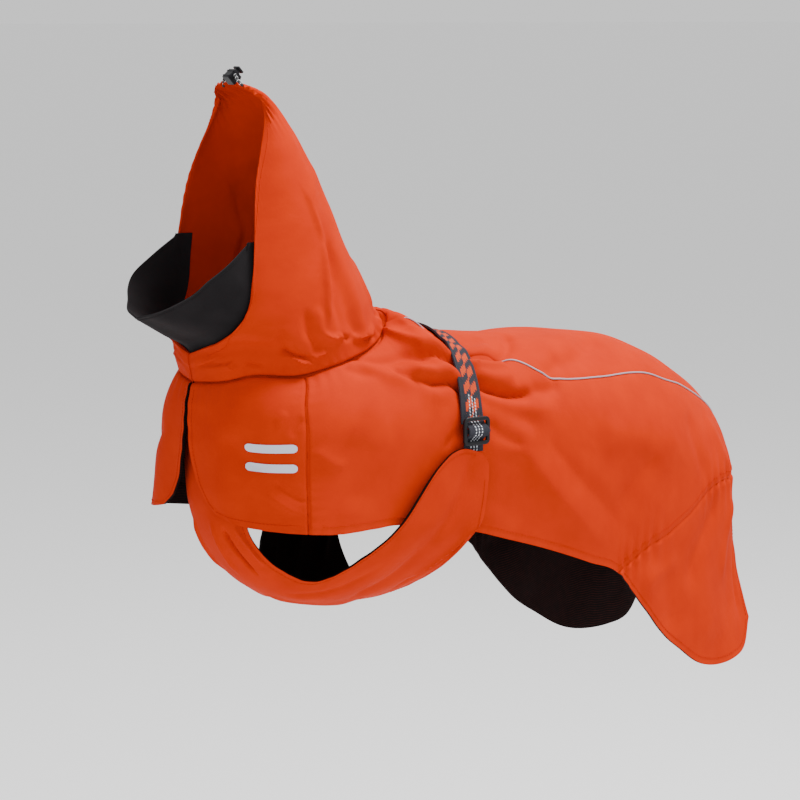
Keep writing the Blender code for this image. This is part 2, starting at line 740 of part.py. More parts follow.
def build_linings():
    dark = material("dark_mesh_lining", MESH_BLACK, 0.9)
    black = material("black_collar_cloth", BLACK_CLOTH, 0.85)
    outer = -(COAT_WALL + LINING_GAP)
    inner = outer - LINING_WALL
    inset = slice(1, -1)
    for label, side in sides():
        for name, grid in (("wing_lining_", wing_grid), ("front_lining_", front_grid)):
            shell(name + label, grid(side, outer)[inset, inset],
                  grid(side, inner)[inset, inset], dark, side < 0)
    inset_wide = slice(2, -2)
    shell("belly_lining", belly_grid(outer)[inset, inset_wide],
          belly_grid(inner)[inset, inset_wide], dark, True)
    sheet("collar", collar_grid(), COLLAR_WALL, black)


def build_trims():
    webbing = material("grey_webbing", WEBBING, 0.8)
    piping = material("pale_piping", PIPING, 0.55)
    silver = material("reflective_film", REFLECTIVE, 0.35)
    plastic = material("black_plastic", PLASTIC, 0.4)
    cord = material("black_cord", CORD, 0.8)
    shell("back_strap", strap_grid(STRAP_LIFT), strap_grid(STRAP_LIFT - STRAP_WALL), webbing)
    for label, side in sides():
        shell("piping_" + label, piping_grid(side, LAYER_GAP + PIPING_WALL),
              piping_grid(side, LAYER_GAP), piping, side > 0)
        for place, middle in zip(("upper", "lower"), BAR_LEVELS):
            name = "reflective_bar_" + place + "_" + label
            shell(name, bar_grid(side, middle, LAYER_GAP + BAR_WALL),
                  bar_grid(side, middle, LAYER_GAP), silver, side > 0)
        sheet("tab_webbing_" + label, tongue_grid(side), TAB_WALL, webbing, side > 0)
        slot_frame("ladder_buckle_" + label, side, plastic)
    cord_lock(plastic, plastic)
    hood_cord(cord)


clear_scene()
COAT = bpy.data.collections.new("dog_raincoat")
CUTTERS = bpy.data.collections.new("cutters")
bpy.context.scene.collection.children.link(COAT)
bpy.context.scene.collection.children.link(CUTTERS)
build_body()
build_linings()
build_trims()
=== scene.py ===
"""Studio scene of a worn dog raincoat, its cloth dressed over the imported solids.

Frame: metres, +Z up, tail toward +Y, head toward -Y, the wearer's left toward +X.
Tables hold millimetres; every mesh is written in metres.
"""
import math

import bpy
import numpy as np
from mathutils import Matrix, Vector


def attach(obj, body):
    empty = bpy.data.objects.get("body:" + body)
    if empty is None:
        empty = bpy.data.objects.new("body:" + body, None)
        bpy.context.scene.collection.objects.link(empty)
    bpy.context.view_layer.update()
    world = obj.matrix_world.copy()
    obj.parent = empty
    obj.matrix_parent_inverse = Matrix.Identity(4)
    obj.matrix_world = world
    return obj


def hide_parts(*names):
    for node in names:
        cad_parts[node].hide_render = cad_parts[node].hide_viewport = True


bl_info = {
    "name": "Dog raincoat",
    "version": (1, 0, 0),
    "blender": (4, 5, 0),
    "location": "3D View > Sidebar > Raincoat",
    "description": "Builds the worn dog raincoat piece by piece with its cloth, trims and stage",
    "category": "Object",
}

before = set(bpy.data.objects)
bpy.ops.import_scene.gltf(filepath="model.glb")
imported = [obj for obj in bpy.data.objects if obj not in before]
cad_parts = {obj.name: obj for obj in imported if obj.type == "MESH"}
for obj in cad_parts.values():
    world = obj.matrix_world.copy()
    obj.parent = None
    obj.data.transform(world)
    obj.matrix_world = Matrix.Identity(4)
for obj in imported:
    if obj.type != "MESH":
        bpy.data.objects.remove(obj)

MM = 0.001

# Walls and clearances, millimetres
COAT_WALL = 1.6
LINING_WALL = 0.6
LINING_GAP = 0.5
COLLAR_WALL = 1.8
COLLAR_GAP = 2.4
COLLAR_ROOT = 9.0
COLLAR_INSET = 2.0
COLLAR_OVERRUN = 2.6
COLLAR_SPAN = 0.29
STRAP_WIDTH = 25.0
STRAP_WALL = 1.7
STRAP_LIFT = 2.1
STRAP_END = 0.94
FLAP_SWING = 19.0
FLAP_EDGE_SWING = 6.0
SEAM_HALF_GAP = 0.06
HOOD_SEAM_HALF_GAP = 0.03

# Share of the hood's foot that belongs to the crown, and ring where the throat ends
CROWN_SHARE = 0.16
THROAT_RING = 0.93

# Millimetres of cloth in one level: at the seams, at the neck and at the bars
SEAM_GIRTH = 105.0
NECK_GIRTH = 60.0
BAR_GIRTH = 100.0

# Piping: shown radius and lift, stretches where it dips under the cloth, and how deep
PIPE_SHOWN = 0.85
PIPING_LIFT = 0.25
PIPING_TUCKS = ((215.0, 276.0), (312.0, 350.0))
PIPING_TUCK_DEPTH = 3.4
PIPING_TUCK_FADE = 5.0

# Strap: how far its top settles on the spine, its borders, front groove and tipped edge
STRAP_SETTLE = 3.0
STRAP_BORDER = 0.35
STRAP_GROOVE = -0.55
STRAP_TIP = 2.2
STRIP_BORDER = 0.3
STRIP_WALL = 1.5

# Belly tabs: radius of the rear corners, lift of the rear edge and its reach
TAB_CORNER = 13.0
TAB_LIFT = 1.6
TAB_LIFT_REACH = 9.0

# Top of the shoulder seam, drawn to the rear under the neck: distance, reach in level and station
SEAM_TURN = 8.0
SEAM_TURN_REACH = 0.26
SEAM_TURN_HALF = 22.0

# Right front panel: rise with its swing; small folds of the right side: shift along the station
FLARE_RISE = 0.22
FAR_FOLD_SHIFT = 5.0

# Far side of the hem, drawn forward round the notch: middle and reach in station, distance
FAR_PULL_MIDDLE = 500.0
FAR_PULL_REACH = 105.0
FAR_PULL = 17.0

# Reflective bars, cord, buckles and cord lock
BAR_WALL = 0.35
BAR_LIFT = 0.75
BAR_HEIGHT = 9.0
BAR_START = 68.0
BAR_END = 112.0
BAR_LEVELS = (1.10, 1.31)
CORD_DIAMETER = 2.6
TONGUE_HALF_WIDTHS = (10.5,) * 3
TONGUE_SHIFTS = (-1.0,) * 3
BUCKLE_WIDTH = 29.0
BUCKLE_HEIGHT = 26.0
BUCKLE_DEPTH = 3.4
BUCKLE_CORNER = 4.6
BUCKLE_RIM = 3.6
BUCKLE_EDGE = 0.9
BUCKLE_BAR = (3.0, BUCKLE_WIDTH - 5.0, 3.8)
BUCKLE_CENTRE = (112.0, 20.5, -97.5)
LOCK_CENTRE = (7.0, -170.5, 224.6)
LOCK_LEAN = math.radians(48)
LOCK_BODY = (10.5, 10.0, 10.5)
LOCK_BODY_DROP = 2.6
LOCK_BORE = 2.0
LOCK_RIB = (11.3, 10.8, 0.9)
LOCK_RIB_PLACES = (-2.9, 2.9)
LOCK_STEM = (3.0, 4.0, 4.2)
LOCK_CAP = (8.8, 7.4, 2.2)
LOCK_CAP_RISE = 6.6
SIDES = (("left", 1.0), ("right", -1.0))

# Stations run round the hem from the centre front (0) past the side to the tail edge (690).
SHOULDER_SEAM = 120.0
NECK_BACK = 275.0
PIPING_START = 260.0
HEM_NOTCH = 471.0
TAIL_EDGE = 690.0

# Body sections: station, apex y z, widest point x y, drop to it, hem x y z, fullness
BODY_SECTIONS = (
    (0, -176, -14, 0, -219, 68, 0, -216, -152, 0),
    (50, -168, -13, 48, -207, 76, 50, -202, -169, 0),
    (78, -160, -12, 70, -190, 80, 70, -187.5, -173, 0),
    (120, -136, -8, 95, -152, 84, 95, -151, -177.5, 0),
    (150, -112, -6, 102, -120, 88, 100, -122, -179.5, 0),
    (186, -80, -7, 105, -86, 93, 102, -86, -178.5, 1),
    (214, -54, -10, 105, -58, 96, 101.5, -58, -178, 2),
    (240, -33, -9, 105, -32, 96, 101.5, -32, -184, 3),
    (262, -22, -1, 105, -10, 98, 101.5, -10, -187.5, 3),
    (275, -14, 7, 105, 3, 102, 101.5, 3, -190, 2),
    (299, 30, -9, 105, 24, 92, 102, 22, -192, 2),
    (340, 75, -19.5, 110, 65, 92, 108, 61, -203, 3),
    (390, 122, -24, 113, 112, 96, 111, 106, -217, 4),
    (440, 170, -25, 114, 160, 100, 112, 155, -235, 4),
    (471, 205, -27.5, 113, 192, 104, 112, 190, -249, 4),
    (495, 232, -31, 112, 222, 106, 112, 212, -275, 4),
    (530, 267, -38.5, 109, 257, 108, 110, 248, -316, 3),
    (560, 296, -51, 105, 287, 108, 108, 274, -336, 3),
    (585, 321, -65, 100, 311, 106, 106, 298, -352, 2),
    (610, 342, -79, 94, 333, 100, 103, 320, -358, 0),
    (640, 358, -94, 85, 352, 92, 98, 350, -356, 0),
    (665, 367, -106, 75, 364, 80, 92, 369, -347, 0),
    (690, 373, -116, 66, 370, 68, 86, 380, -320, 0),
)

# Neck seam: station, share of the way from apex to widest point
NECK_SEAM = (
    (0, 0.86), (50, 0.80), (78, 0.745), (120, 0.775), (150, 0.735), (186, 0.64),
    (214, 0.51), (240, 0.35), (262, 0.19), (275, 0.0),
)

# Back panel edge under the piping: station, distance from the centre line
PIPING_LINE = (
    (250, 17), (262, 25), (275, 35), (288, 44), (299, 53), (312, 61), (345, 65), (362, 70),
    (374, 76), (384, 83), (395, 88), (412, 91), (430, 91), (460, 88), (507, 80), (547, 76),
    (569, 69), (620, 54), (690, 38),
)

# Gathered seam above the thigh wing: station, level (1 at the widest point, 2 at the hem)
GATHER_LINE = (
    (471, 2.0), (485, 1.82), (500, 1.64), (530, 1.42), (560, 1.24), (585, 1.08),
    (610, 0.99), (640, 0.93), (690, 0.86),
)

# Slit edge of a front panel: level, station
SLIT_LINE = ((0, 0.6), (0.6, 0.8), (1.0, 1.2), (1.35, 3), (1.7, 10), (1.9, 20), (2.0, 32))

# Centre line of the back strap: level, station
STRAP_LINE = (
    (0.00, 310), (0.10, 309.4), (0.22, 307.4), (0.386, 303.5), (0.55, 300), (0.72, 297),
    (0.87, 295), (1.00, 295.5), (1.20, 297),
)

# Hood cord: place, x y z
CORD_PATH = (
    (0.00, 25, -172.3, 215.5), (0.20, 19.5, -174, 220), (0.38, 13.5, -173, 224.6),
    (0.45, 11, -172.9, 224.8), (0.62, 3, -172.9, 224.8), (0.69, 0.5, -173, 224.6),
    (0.85, -6, -172.5, 220.5), (1.00, -12, -169.5, 214),
)

# Folds on both sides: start station and level, end station and level, width, depth
FOLDS = (
    (313, -0.30, 295, 1.25, 19, -4.0),
    (262, 0.42, 300, 0.52, 7, 1.8),
    (250, 0.52, 304, 0.63, 6, -3.5),
    (245, 0.66, 300, 0.74, 9, 1.5),
    (258, 0.80, 306, 0.88, 7, -4.0),
    (308, 0.74, 372, 0.86, 8, -4.0),
    (306, 0.52, 356, 0.50, 9, 2.0),
    (306, 0.34, 350, 0.24, 9, -3.0),
    (380, 0.44, 460, 0.26, 18, 2.0),
    (420, 0.60, 520, 0.50, 20, -1.5),
    (340, 1.10, 330, 1.80, 22, -2.0),
    (420, 1.05, 400, 1.85, 30, 1.5),
    (170, 0.95, 160, 1.75, 24, -2.0),
    (520, 1.55, 545, 1.95, 16, -2.5),
    (575, 1.30, 600, 1.90, 18, 2.0),
    (625, 1.15, 640, 1.80, 14, -2.0),
)

# Hood rings from crown to neck: ring, back y z, face x y z, half width
HOOD_RINGS = (
    (0.00, -172, 218, 36, -158, 201, 37),
    (0.10, -149, 211.5, 44, -162, 185, 46),
    (0.25, -121, 180, 52, -171, 160, 56),
    (0.40, -99, 145, 58, -180, 131, 63),
    (0.54, -79, 108, 63, -184.5, 100, 69),
    (0.67, -61, 70, 67, -187, 63, 74),
    (0.76, -48, 44, 68.5, -189.5, 33, 78),
    (0.83, -38, 28, 63, -202, 9, 81),
    (0.89, -30, 18, 44, -213.5, -8, 82),
    (0.93, -23, 12, 4.0, -217, -20, 81),
    (1.00, -14, 7, 1.0, -213, -45, 78),
)

# Collar: place from centre front (0) to the cheek (1), free edge x y z, bulge
COLLAR_EDGE = (
    (0.00, 0, -269, 13, 0),
    (0.16, 24, -264, 18.5, 1),
    (0.30, 40, -254.5, 26, 2),
    (0.45, 54, -246, 35, 3),
    (0.60, 64, -234, 47, 3),
    (0.78, 66, -213, 62.5, 2),
    (1.00, 62.0, -191, 79, 0),
)

# Belly panel sections from the neck seam to its rear edge: place, centre y z,
# then x y z at a quarter, at the low side, at the high side and at the edge
BELLY_SECTIONS = (
    (0.00, -206, -58, 14, -205, -58, 27, -200, -57.5, 39, -191, -57, 49, -178, -56),
    (0.12, -209, -104, 14, -208, -104, 28, -203, -103, 41, -194, -102, 51, -181, -101),
    (0.24, -210, -144, 14, -209, -144, 27, -204, -143, 39, -196, -142, 48, -185, -140),
    (0.34, -205, -175, 13, -204, -175, 24, -200, -174, 35, -193, -172, 43, -184, -169),
    (0.44, -191, -204, 12, -190, -204, 22, -187, -202, 32, -181, -199, 40, -172, -194),
    (0.54, -164, -233, 13, -163, -232, 24, -160, -229, 34, -155, -225, 42, -147, -218),
    (0.64, -130, -252, 16, -129, -251, 30, -126, -249, 43, -121, -242, 54, -115, -231),
    (0.73, -98, -260, 24, -96, -258.5, 47, -93, -251, 68, -89, -234, 86, -86, -208),
    (0.81, -76, -262.5, 31, -73, -259.5, 64, -68, -243, 98.5, -60, -208, 111, -57, -173),
    (0.88, -58, -262, 35, -53, -258, 74, -44, -236, 110, -33, -187, 111.6, -20, -127),
    (0.94, -42, -260, 38, -34, -256, 86, -19, -225, 111, -1, -181, 111.8, 4, -113),
    (1.00, -24, -258, 40, -14, -252, 93, 3, -218, 111.3, 27, -178, 111.8, 35, -121),
)

# Smaller folds on both sides: start station and level, end station and level, width, depth
FINE_FOLDS = (
    (244, 0.10, 266, 0.44, 5.0, 4.5),
    (262, 0.42, 300, 0.53, 5.0, 3.4),
    (180, 0.40, 246, 0.44, 4.0, -3.4),
    (238, 0.43, 300, 0.56, 4.2, -4.6),
    (186, 0.49, 262, 0.585, 5.5, 3.4),
    (240, 0.555, 300, 0.655, 6.0, 4.2),
    (222, 0.515, 258, 0.655, 3.0, -4.2),
    (250, 0.655, 300, 0.75, 3.4, -7.0),
    (256, 0.76, 300, 0.88, 7.0, 3.0),
    (310, 0.655, 372, 0.672, 3.6, -7.5),
    (372, 0.655, 404, 0.625, 5.0, -3.4),
    (312, 0.585, 352, 0.575, 6.0, 4.4),
    (306, 0.495, 350, 0.485, 4.0, 4.6),
    (306, 0.395, 354, 0.425, 5.5, -5.5),
    (346, 0.45, 390, 0.13, 5.0, -4.0),
    (318, 0.40, 348, 0.28, 6.0, 3.0),
    (312, 0.735, 392, 0.76, 7.0, 2.8),
    (392, 0.545, 420, 0.44, 6.0, -3.0),
    (414, 0.50, 486, 0.20, 9.0, -3.8),
    (400, 0.36, 470, 0.10, 12.0, 1.5),
    (168, 0.52, 205, 0.56, 4.0, -2.0),
    (262, 0.24, 300, 0.30, 4.0, -2.8),
    (300, 0.95, 262, 1.15, 7.0, -2.0),
    (312, 0.90, 352, 1.02, 7.0, -2.0),
    (118, 0.86, 108, 0.98, 3.0, -1.4),
    (104, 0.82, 96, 0.90, 2.6, 1.2),
    (94, 1.46, 118, 1.66, 4.0, -1.6),
    (88, 1.58, 112, 1.78, 4.5, 1.4),
    (50, 1.05, 84, 1.34, 9.0, -2.0),
    (126, 1.12, 152, 1.30, 8.0, 1.6),
    (440, 0.84, 545, 0.88, 16.0, 2.6),
    (346, 0.98, 450, 1.80, 14.0, 2.4),
    (380, 0.92, 480, 1.62, 12.0, -2.0),
    (505, 1.00, 470, 1.50, 10.0, -2.2),
    (560, 0.70, 585, 1.00, 9.0, -2.0),
    (600, 0.62, 640, 0.86, 8.0, 2.0),
    (540, 1.55, 500, 1.90, 7.0, 2.4),
    (606, 1.10, 560, 1.62, 8.0, -3.2),
    (650, 1.05, 618, 1.50, 8.0, 2.8),
    (672, 1.20, 664, 1.80, 7.0, -2.4),
)

# Hood folds: start place and rise, end place and rise, width, depth
HOOD_FOLDS = (
    (0.08, 0.60, 0.20, 0.39, 7.0, 2.0),
    (0.20, 0.39, 0.40, 0.20, 4.0, 3.7),
    (0.17, 0.36, 0.36, 0.17, 6.0, -3.1),
    (0.45, 0.150, 0.385, 0.128, 2.6, 3.4),
    (0.39, 0.118, 0.33, 0.100, 2.4, -3.1),
    (0.36, 0.105, 0.18, 0.080, 3.0, 3.2),
    (0.30, 0.080, 0.20, 0.050, 2.4, -2.5),
    (0.66, 0.18, 0.56, 0.085, 2.8, -3.2),
    (0.56, 0.090, 0.49, 0.100, 2.6, 3.2),
    (0.63, 0.12, 0.56, 0.055, 2.4, 2.4),
    (0.60, 0.27, 0.67, 0.15, 6.0, -2.0),
    (0.46, 0.28, 0.53, 0.10, 6.0, -2.6),
    (0.41, 0.26, 0.46, 0.12, 6.0, 1.6),
    (0.80, 0.13, 0.74, 0.07, 2.6, -1.7),
    (0.88, 0.22, 0.83, 0.10, 3.4, 1.7),
    (0.97, 0.50, 0.90, 0.24, 4.0, -1.7),
    (0.10, 0.11, 0.06, 0.05, 3.0, -2.5),
    (0.04, 0.30, 0.10, 0.12, 5.0, 2.2),
)

# Belly panel folds on both sides: start place and side share, end, width, depth
BELLY_FOLDS = (
    (0.97, 0.97, 0.90, 0.70, 5.0, -3.6),
    (0.90, 0.70, 0.80, 0.42, 7.0, -2.7),
    (1.00, 0.76, 0.93, 0.46, 3.0, 3.4),
    (0.99, 0.66, 0.92, 0.38, 4.0, -3.2),
    (0.36, 0.55, 0.52, 0.62, 4.0, -3.6),
    (0.36, 0.80, 0.50, 0.90, 4.0, 2.2),
    (0.34, 0.30, 0.50, 0.25, 6.0, 2.2),
    (0.60, 0.15, 0.85, 0.22, 9.0, 1.8),
    (0.62, 0.60, 0.78, 0.74, 7.0, -2.2),
)

# Fold scales: millimetres of cloth in one unit along and across
BODY_FOLD_SCALE = (1.0, 110.0)
HOOD_FOLD_SCALE = (300.0, 240.0)
BELLY_FOLD_SCALE = (420.0, 110.0)

# Fold shapes: bend in share of the length, overrun and fade of the ends, power of the flank
LARGE_FOLD = (0.0, 0.08, 0.30, 2)
SMALL_FOLD = (0.06, 0.12, 0.32, 1.7)

# Edge styles: seam dip and its width, pucker height, pitch and reach, hem band, its step
EDGE_STYLES = {
    "seam": (1.3, 1.0, 0.40, 10.0, 8.0, 0.0, 0.0),
    "neck": (1.6, 1.3, 0.90, 13.0, 13.0, 0.0, 0.0),
    "gather": (1.0, 2.4, 2.5, 14.0, 13.0, 0.0, 0.0),
    "under_piping": (0.5, 1.6, 0.35, 13.0, 9.0, 0.0, 0.0),
    "hem": (0.0, 1.0, 0.30, 18.0, 14.0, 6.0, 0.12),
    "wing_hem": (0.0, 1.0, 0.3, 30.0, 18.0, 6.5, 0.14),
    "face": (0.0, 1.0, 0.30, 12.0, 10.0, 15.0, 0.35),
    "plain": (0.0, 1.0, 0.10, 20.0, 10.0, 0.0, 0.0),
}

# Bunched cloth at the crown: height in millimetres, pitch as a share of the hood's foot
CROWN_BUNCH = 1.3
CROWN_BUNCH_PITCH = 0.021

# Seam tape inside the neck seam: half width, depth under the cloth and wall
NECK_TAPE_HALF = 5.0
NECK_TAPE_DEPTH = 2.6
NECK_TAPE_WALL = 0.5

# Webbing beside the buckle, rows from top to bottom: x and z
TONGUE_PROFILE = ((109.4, -102.5), (109.6, -109.0), (109.2, -117.0))
LOOP_PROFILE = ((108.8, -89.0), (111.4, -91.2), (114.9, -93.6), (115.8, -97.5),
                (114.9, -101.4), (111.6, -103.8), (109.8, -106.0))
LOOP_HALF_WIDTHS = (10.4, 10.4, 10.6, 11.6, 10.8, 10.4, 10.4)
LOOP_SHIFTS = (0.0, 0.0, 0.4, 1.6, 0.6, 0.0, 0.0)

# Thread stitches: share of a line left bare at each end
STITCH_MARGIN = 0.015

# Topstitched lines: piece, edge, distance from it
STITCH_LINES = (
    ("side", "right", 7.5), ("side", "first", 2.6), ("front", "right", 7.5),
    ("front", "first", 5.0), ("wing", "right", 6.5), ("wing", "last", 6.5),
    ("side", "last", 7.5), ("hood", "first", 13.5),
)

# Colours as linear red, green, blue
ORANGE = (0.54, 0.026, 0.0004)
ORANGE_DEEP = (0.46, 0.020, 0.0003)
THREAD = (0.47, 0.019, 0.0006)
BLACK_CLOTH = (0.007, 0.006, 0.0065)
BLACK_SOFT = (0.012, 0.010, 0.011)
MESH_BLACK = (0.004, 0.0022, 0.0022)
MESH_RED = (0.05, 0.008, 0.006)
WEBBING_DARK = (0.022, 0.022, 0.030)
WEBBING_LIGHT = (0.055, 0.055, 0.070)
WEBBING_ORANGE = (0.72, 0.07, 0.015)
WEBBING_WHITE = (0.72, 0.74, 0.80)
PIPING = (0.38, 0.28, 0.31)
REFLECTIVE = (0.58, 0.61, 0.72)
PLASTIC = (0.006, 0.006, 0.008)
CORD = (0.018, 0.018, 0.020)

# Camera, as it stood to the coat in the photograph
CAMERA_AZIMUTH = 55.0
CAMERA_ELEVATION = 8.0
CAMERA_DISTANCE = 2.6
CAMERA_AIM = (0.0, 0.014, -0.0815)
CAMERA_LENS = 124.5
CAMERA_SENSOR = 36.0

# Stage: floor size, backdrop strength, and soft lights: name, place, aim, size, power
FLOOR_SIZE = 400.0
WORLD_STRENGTH = 0.90
LIGHTS = (
    ("top_softbox", (0.55, 0.75, 2.3), (0.0, 0.1, -0.1), 0.9, 125.0),
    ("front_fill", (2.6, -0.9, 0.9), (0.0, 0.0, -0.1), 1.6, 10.0),
)


def smooth(table, places):
    """Cubic curve through the rows of a table; the first column is the place."""
    rows = np.asarray(table, dtype=float)
    knots = rows[:, 0]
    values = rows[:, 1:]
    slopes = np.gradient(values, knots, axis=0)
    places = np.clip(np.asarray(places, dtype=float), knots[0], knots[-1])
    first = np.clip(np.searchsorted(knots, places, side="right") - 1, 0, len(knots) - 2)
    span = knots[first + 1] - knots[first]
    t = ((places - knots[first]) / span)[..., None]
    span = span[..., None]
    rise = 3 * t ** 2 - 2 * t ** 3
    out = values[first] * (1 - rise) + values[first + 1] * rise
    out += slopes[first] * span * (t ** 3 - 2 * t ** 2 + t)
    out += slopes[first + 1] * span * (t ** 3 - t ** 2)
    return out


def straight(table, places):
    """Straight-line reading of a two-column table."""
    rows = np.asarray(table, dtype=float)
    return np.interp(places, rows[:, 0], rows[:, 1])


def soft_step(t):
    """Smooth rise from 0 to 1."""
    t = np.clip(t, 0.0, 1.0)
    return t * t * (3 - 2 * t)


def body_base(station, level, side):
    """Unfolded body cloth: level 0 on the spine, 1 at the widest point, 2 at the hem."""
    row = smooth(BODY_SECTIONS, station)
    apex_y, apex_z, wide_x, wide_y, drop = (row[..., k] for k in range(5))
    hem_x, hem_y, hem_z, full = (row[..., k] for k in range(5, 9))
    turn = np.clip(level, 0.0, 1.0) * math.pi / 2
    across = np.sin(turn)
    down = 1 - np.cos(turn)
    swell = full * np.sin(2 * turn) ** 2 * 0.707
    fall = np.clip(level - 1, 0.0, None)
    reach = np.sqrt(wide_x ** 2 + (wide_y - apex_y) ** 2)
    x = wide_x * across + swell * wide_x / reach + (hem_x - wide_x) * fall ** 2
    y = apex_y + (wide_y - apex_y) * across + (hem_y - wide_y) * fall ** 2
    y = y + swell * (wide_y - apex_y) / reach
    z = apex_z - drop * down + swell + (hem_z - apex_z + drop) * fall
    return np.stack([x * side, y, z], axis=-1)


def unit(vectors):
    """Vectors of length one."""
    return vectors / np.maximum(np.linalg.norm(vectors, axis=-1, keepdims=True), 1e-9)


def body_normal(station, level, side):
    """Outward unit normal of the unfolded body cloth."""
    low = np.clip(station - 1.5, 0, TAIL_EDGE)
    high = np.clip(station + 1.5, 0, TAIL_EDGE)
    along = body_base(high, level, side) - body_base(low, level, side)
    up = np.clip(level - 0.02, 0.001, None)
    across = body_base(station, level + 0.02, side) - body_base(station, up, side)
    return unit(np.cross(across, along) * side[..., None])


def fold_sum(table, along_axis, across_axis, scale, shape=SMALL_FOLD):
    """Height of a table of soft folds; troughs are negative."""
    along_scale, across_scale = scale
    bend_share, overrun, fade, power = shape
    total = np.zeros_like(along_axis)
    for start_a, start_b, end_a, end_b, width, depth in table:
        run = np.array([(end_a - start_a) * along_scale, (end_b - start_b) * across_scale])
        length = math.hypot(run[0], run[1])
        run = run / length
        off_a = (along_axis - start_a) * along_scale
        off_b = (across_axis - start_b) * across_scale
        along = (off_a * run[0] + off_b * run[1]) / length
        aside = off_b * run[0] - off_a * run[1]
        bend = bend_share * length * np.sin(math.pi * np.clip(along, 0, 1))
        ends = soft_step((along + overrun) / fade) * soft_step((1 + overrun - along) / fade)
        total = total + depth * ends * np.exp(-np.abs((aside - bend) / width) ** power)
    return total


def fold_depth(station, level):
    """Height of the large folds of the body cloth."""
    return fold_sum(FOLDS, station, level, BODY_FOLD_SCALE, LARGE_FOLD)


def flap_flare(station, level, side):
    """Outward swing of the right front panel, which stands away at its hem."""
    round_to = np.clip((SHOULDER_SEAM - station) / SHOULDER_SEAM, 0.0, 1.0)
    swing = FLAP_EDGE_SWING * round_to + FLAP_SWING * np.sin(math.pi * round_to) ** 2
    return swing * (np.clip(level, 0, 2) / 2.0) ** 1.3 * (side < 0)


def body_cloth(station, level, side, lift=0.0, folds=1.0):
    """Folded outer face of the body cloth, moved out by lift."""
    station = np.asarray(station, dtype=float)
    level = np.asarray(level, dtype=float)
    side = np.asarray(side, dtype=float) * np.ones_like(station)
    height = folds * fold_depth(station, level) + flap_flare(station, level, side) + lift
    point = body_base(station, level, side)
    point = point + body_normal(station, level, side) * height[..., None]
    point[..., 2] += FLARE_RISE * flap_flare(station, level, side)
    return point


def level_at_share(share):
    """Level at which the section has covered this share of its half width."""
    return np.arcsin(np.clip(share, 0.0, 1.0)) * 2 / math.pi


def neck_level(station):
    """Level of the neck seam at a station."""
    share = smooth(NECK_SEAM, station)[..., 0]
    return np.where(station >= NECK_BACK, 0.0, level_at_share(share))


def piping_level(station):
    """Level of the piping at a station."""
    half = smooth(PIPING_LINE, station)[..., 0]
    wide = smooth(BODY_SECTIONS, station)[..., 2]
    return level_at_share(half / wide)


def neck_point(station, side):
    """Point of the neck seam at a station."""
    station = np.asarray(station, dtype=float)
    return body_cloth(station, neck_level(station), side)


def unevenness(points):
    """Slight slow waviness of hanging cloth, read from where a point lies."""
    x, y, z = (points[..., k] for k in range(3))
    slow = np.sin(y / 29 + z / 37 + 1.3) * np.sin(z / 31 - y / 57 + x / 60 + 0.7)
    quick = np.sin(y / 13 - z / 17 + x / 23 + 2.1) * np.sin(z / 14 + y / 33 - 0.4)
    return SETTINGS["fold_strength"] * (0.75 * slow + 0.28 * quick)


def dressed_body(station, level, side):
    """Outer face of the body cloth with all its folds, and its outward normals."""
    station, level, side = np.broadcast_arrays(
        np.asarray(station, float), np.asarray(level, float), np.asarray(side, float))
    base = body_base(station, level, side)
    normal = body_normal(station, level, side)
    flare = flap_flare(station, level, side)
    shift = np.where(side < 0, FAR_FOLD_SHIFT, 0.0)
    fine = fold_sum(FINE_FOLDS, station + shift, level, BODY_FOLD_SCALE)
    height = fold_depth(station, level) + SETTINGS["fold_strength"] * fine + flare
    point = base + normal * (height + unevenness(base))[..., None]
    point[..., 2] += FLARE_RISE * flare
    under_neck = 1 - soft_step((level - neck_level(station)) / SEAM_TURN_REACH)
    near_seam = np.exp(-((station - SHOULDER_SEAM) / SEAM_TURN_HALF) ** 2)
    point[..., 1] += SEAM_TURN * under_neck * near_seam
    low = soft_step((level - 1.05) / 0.85)
    near_notch = np.exp(-((station - FAR_PULL_MIDDLE) / FAR_PULL_REACH) ** 2)
    point[..., 1] -= np.where(side < 0, FAR_PULL * low * near_notch, 0.0)
    return point, normal


def edge_run(points, edge):
    """Distance of each grid point from an edge, and the run along that edge."""
    axis = 0 if edge in ("first", "last") else 1
    turned = edge in ("last", "right")
    grid = np.flip(points, axis) if turned else points
    steps = np.linalg.norm(np.diff(grid, axis=axis), axis=-1)
    away = np.cumsum(np.insert(steps, 0, 0.0, axis=axis), axis=axis)
    away = np.flip(away, axis) if turned else away
    line = np.take(points, -1 if turned else 0, axis=axis)
    run = np.cumsum(np.insert(np.linalg.norm(np.diff(line, axis=0), axis=-1), 0, 0.0))
    return away, np.expand_dims(run, axis) + 0 * away


def dress_edges(points, normals, styles):
    """Seam dips, puckers and hem bands along the edges of a grid."""
    height = np.zeros(points.shape[:2])
    for edge, style in styles.items():
        dip, wide, pucker, pitch, reach, band, step = EDGE_STYLES[style]
        away, run = edge_run(points, edge)
        height = height - dip * np.exp(-(away / wide) ** 2)
        phase = 2 * math.pi * run / pitch + 2.3 * np.sin(run / (1.7 * pitch))
        uneven = 0.50 + 0.50 * np.sin(run / (1.9 * pitch) + 1.0)
        held = 1.0 - np.exp(-(away / 2.6) ** 2) if dip > 0 else 1.0
        pucker = pucker * SETTINGS["pucker_strength"]
        height = height + pucker * np.sin(phase) * uneven * held * np.exp(-away / reach)
        if band > 0:
            height = height + step * (1 - soft_step((away - band) / 1.5 + 0.5))
            height = height - 0.28 * np.exp(-((away - band + 1.5) / 1.1) ** 2)
    return points + normals * height[..., None]


# ---------------------------------------------------------------- meshes

def add_object(name, data):
    """New object of that data, linked into the scene."""
    made = bpy.data.objects.new(name, data)
    bpy.context.scene.collection.objects.link(made)
    return made


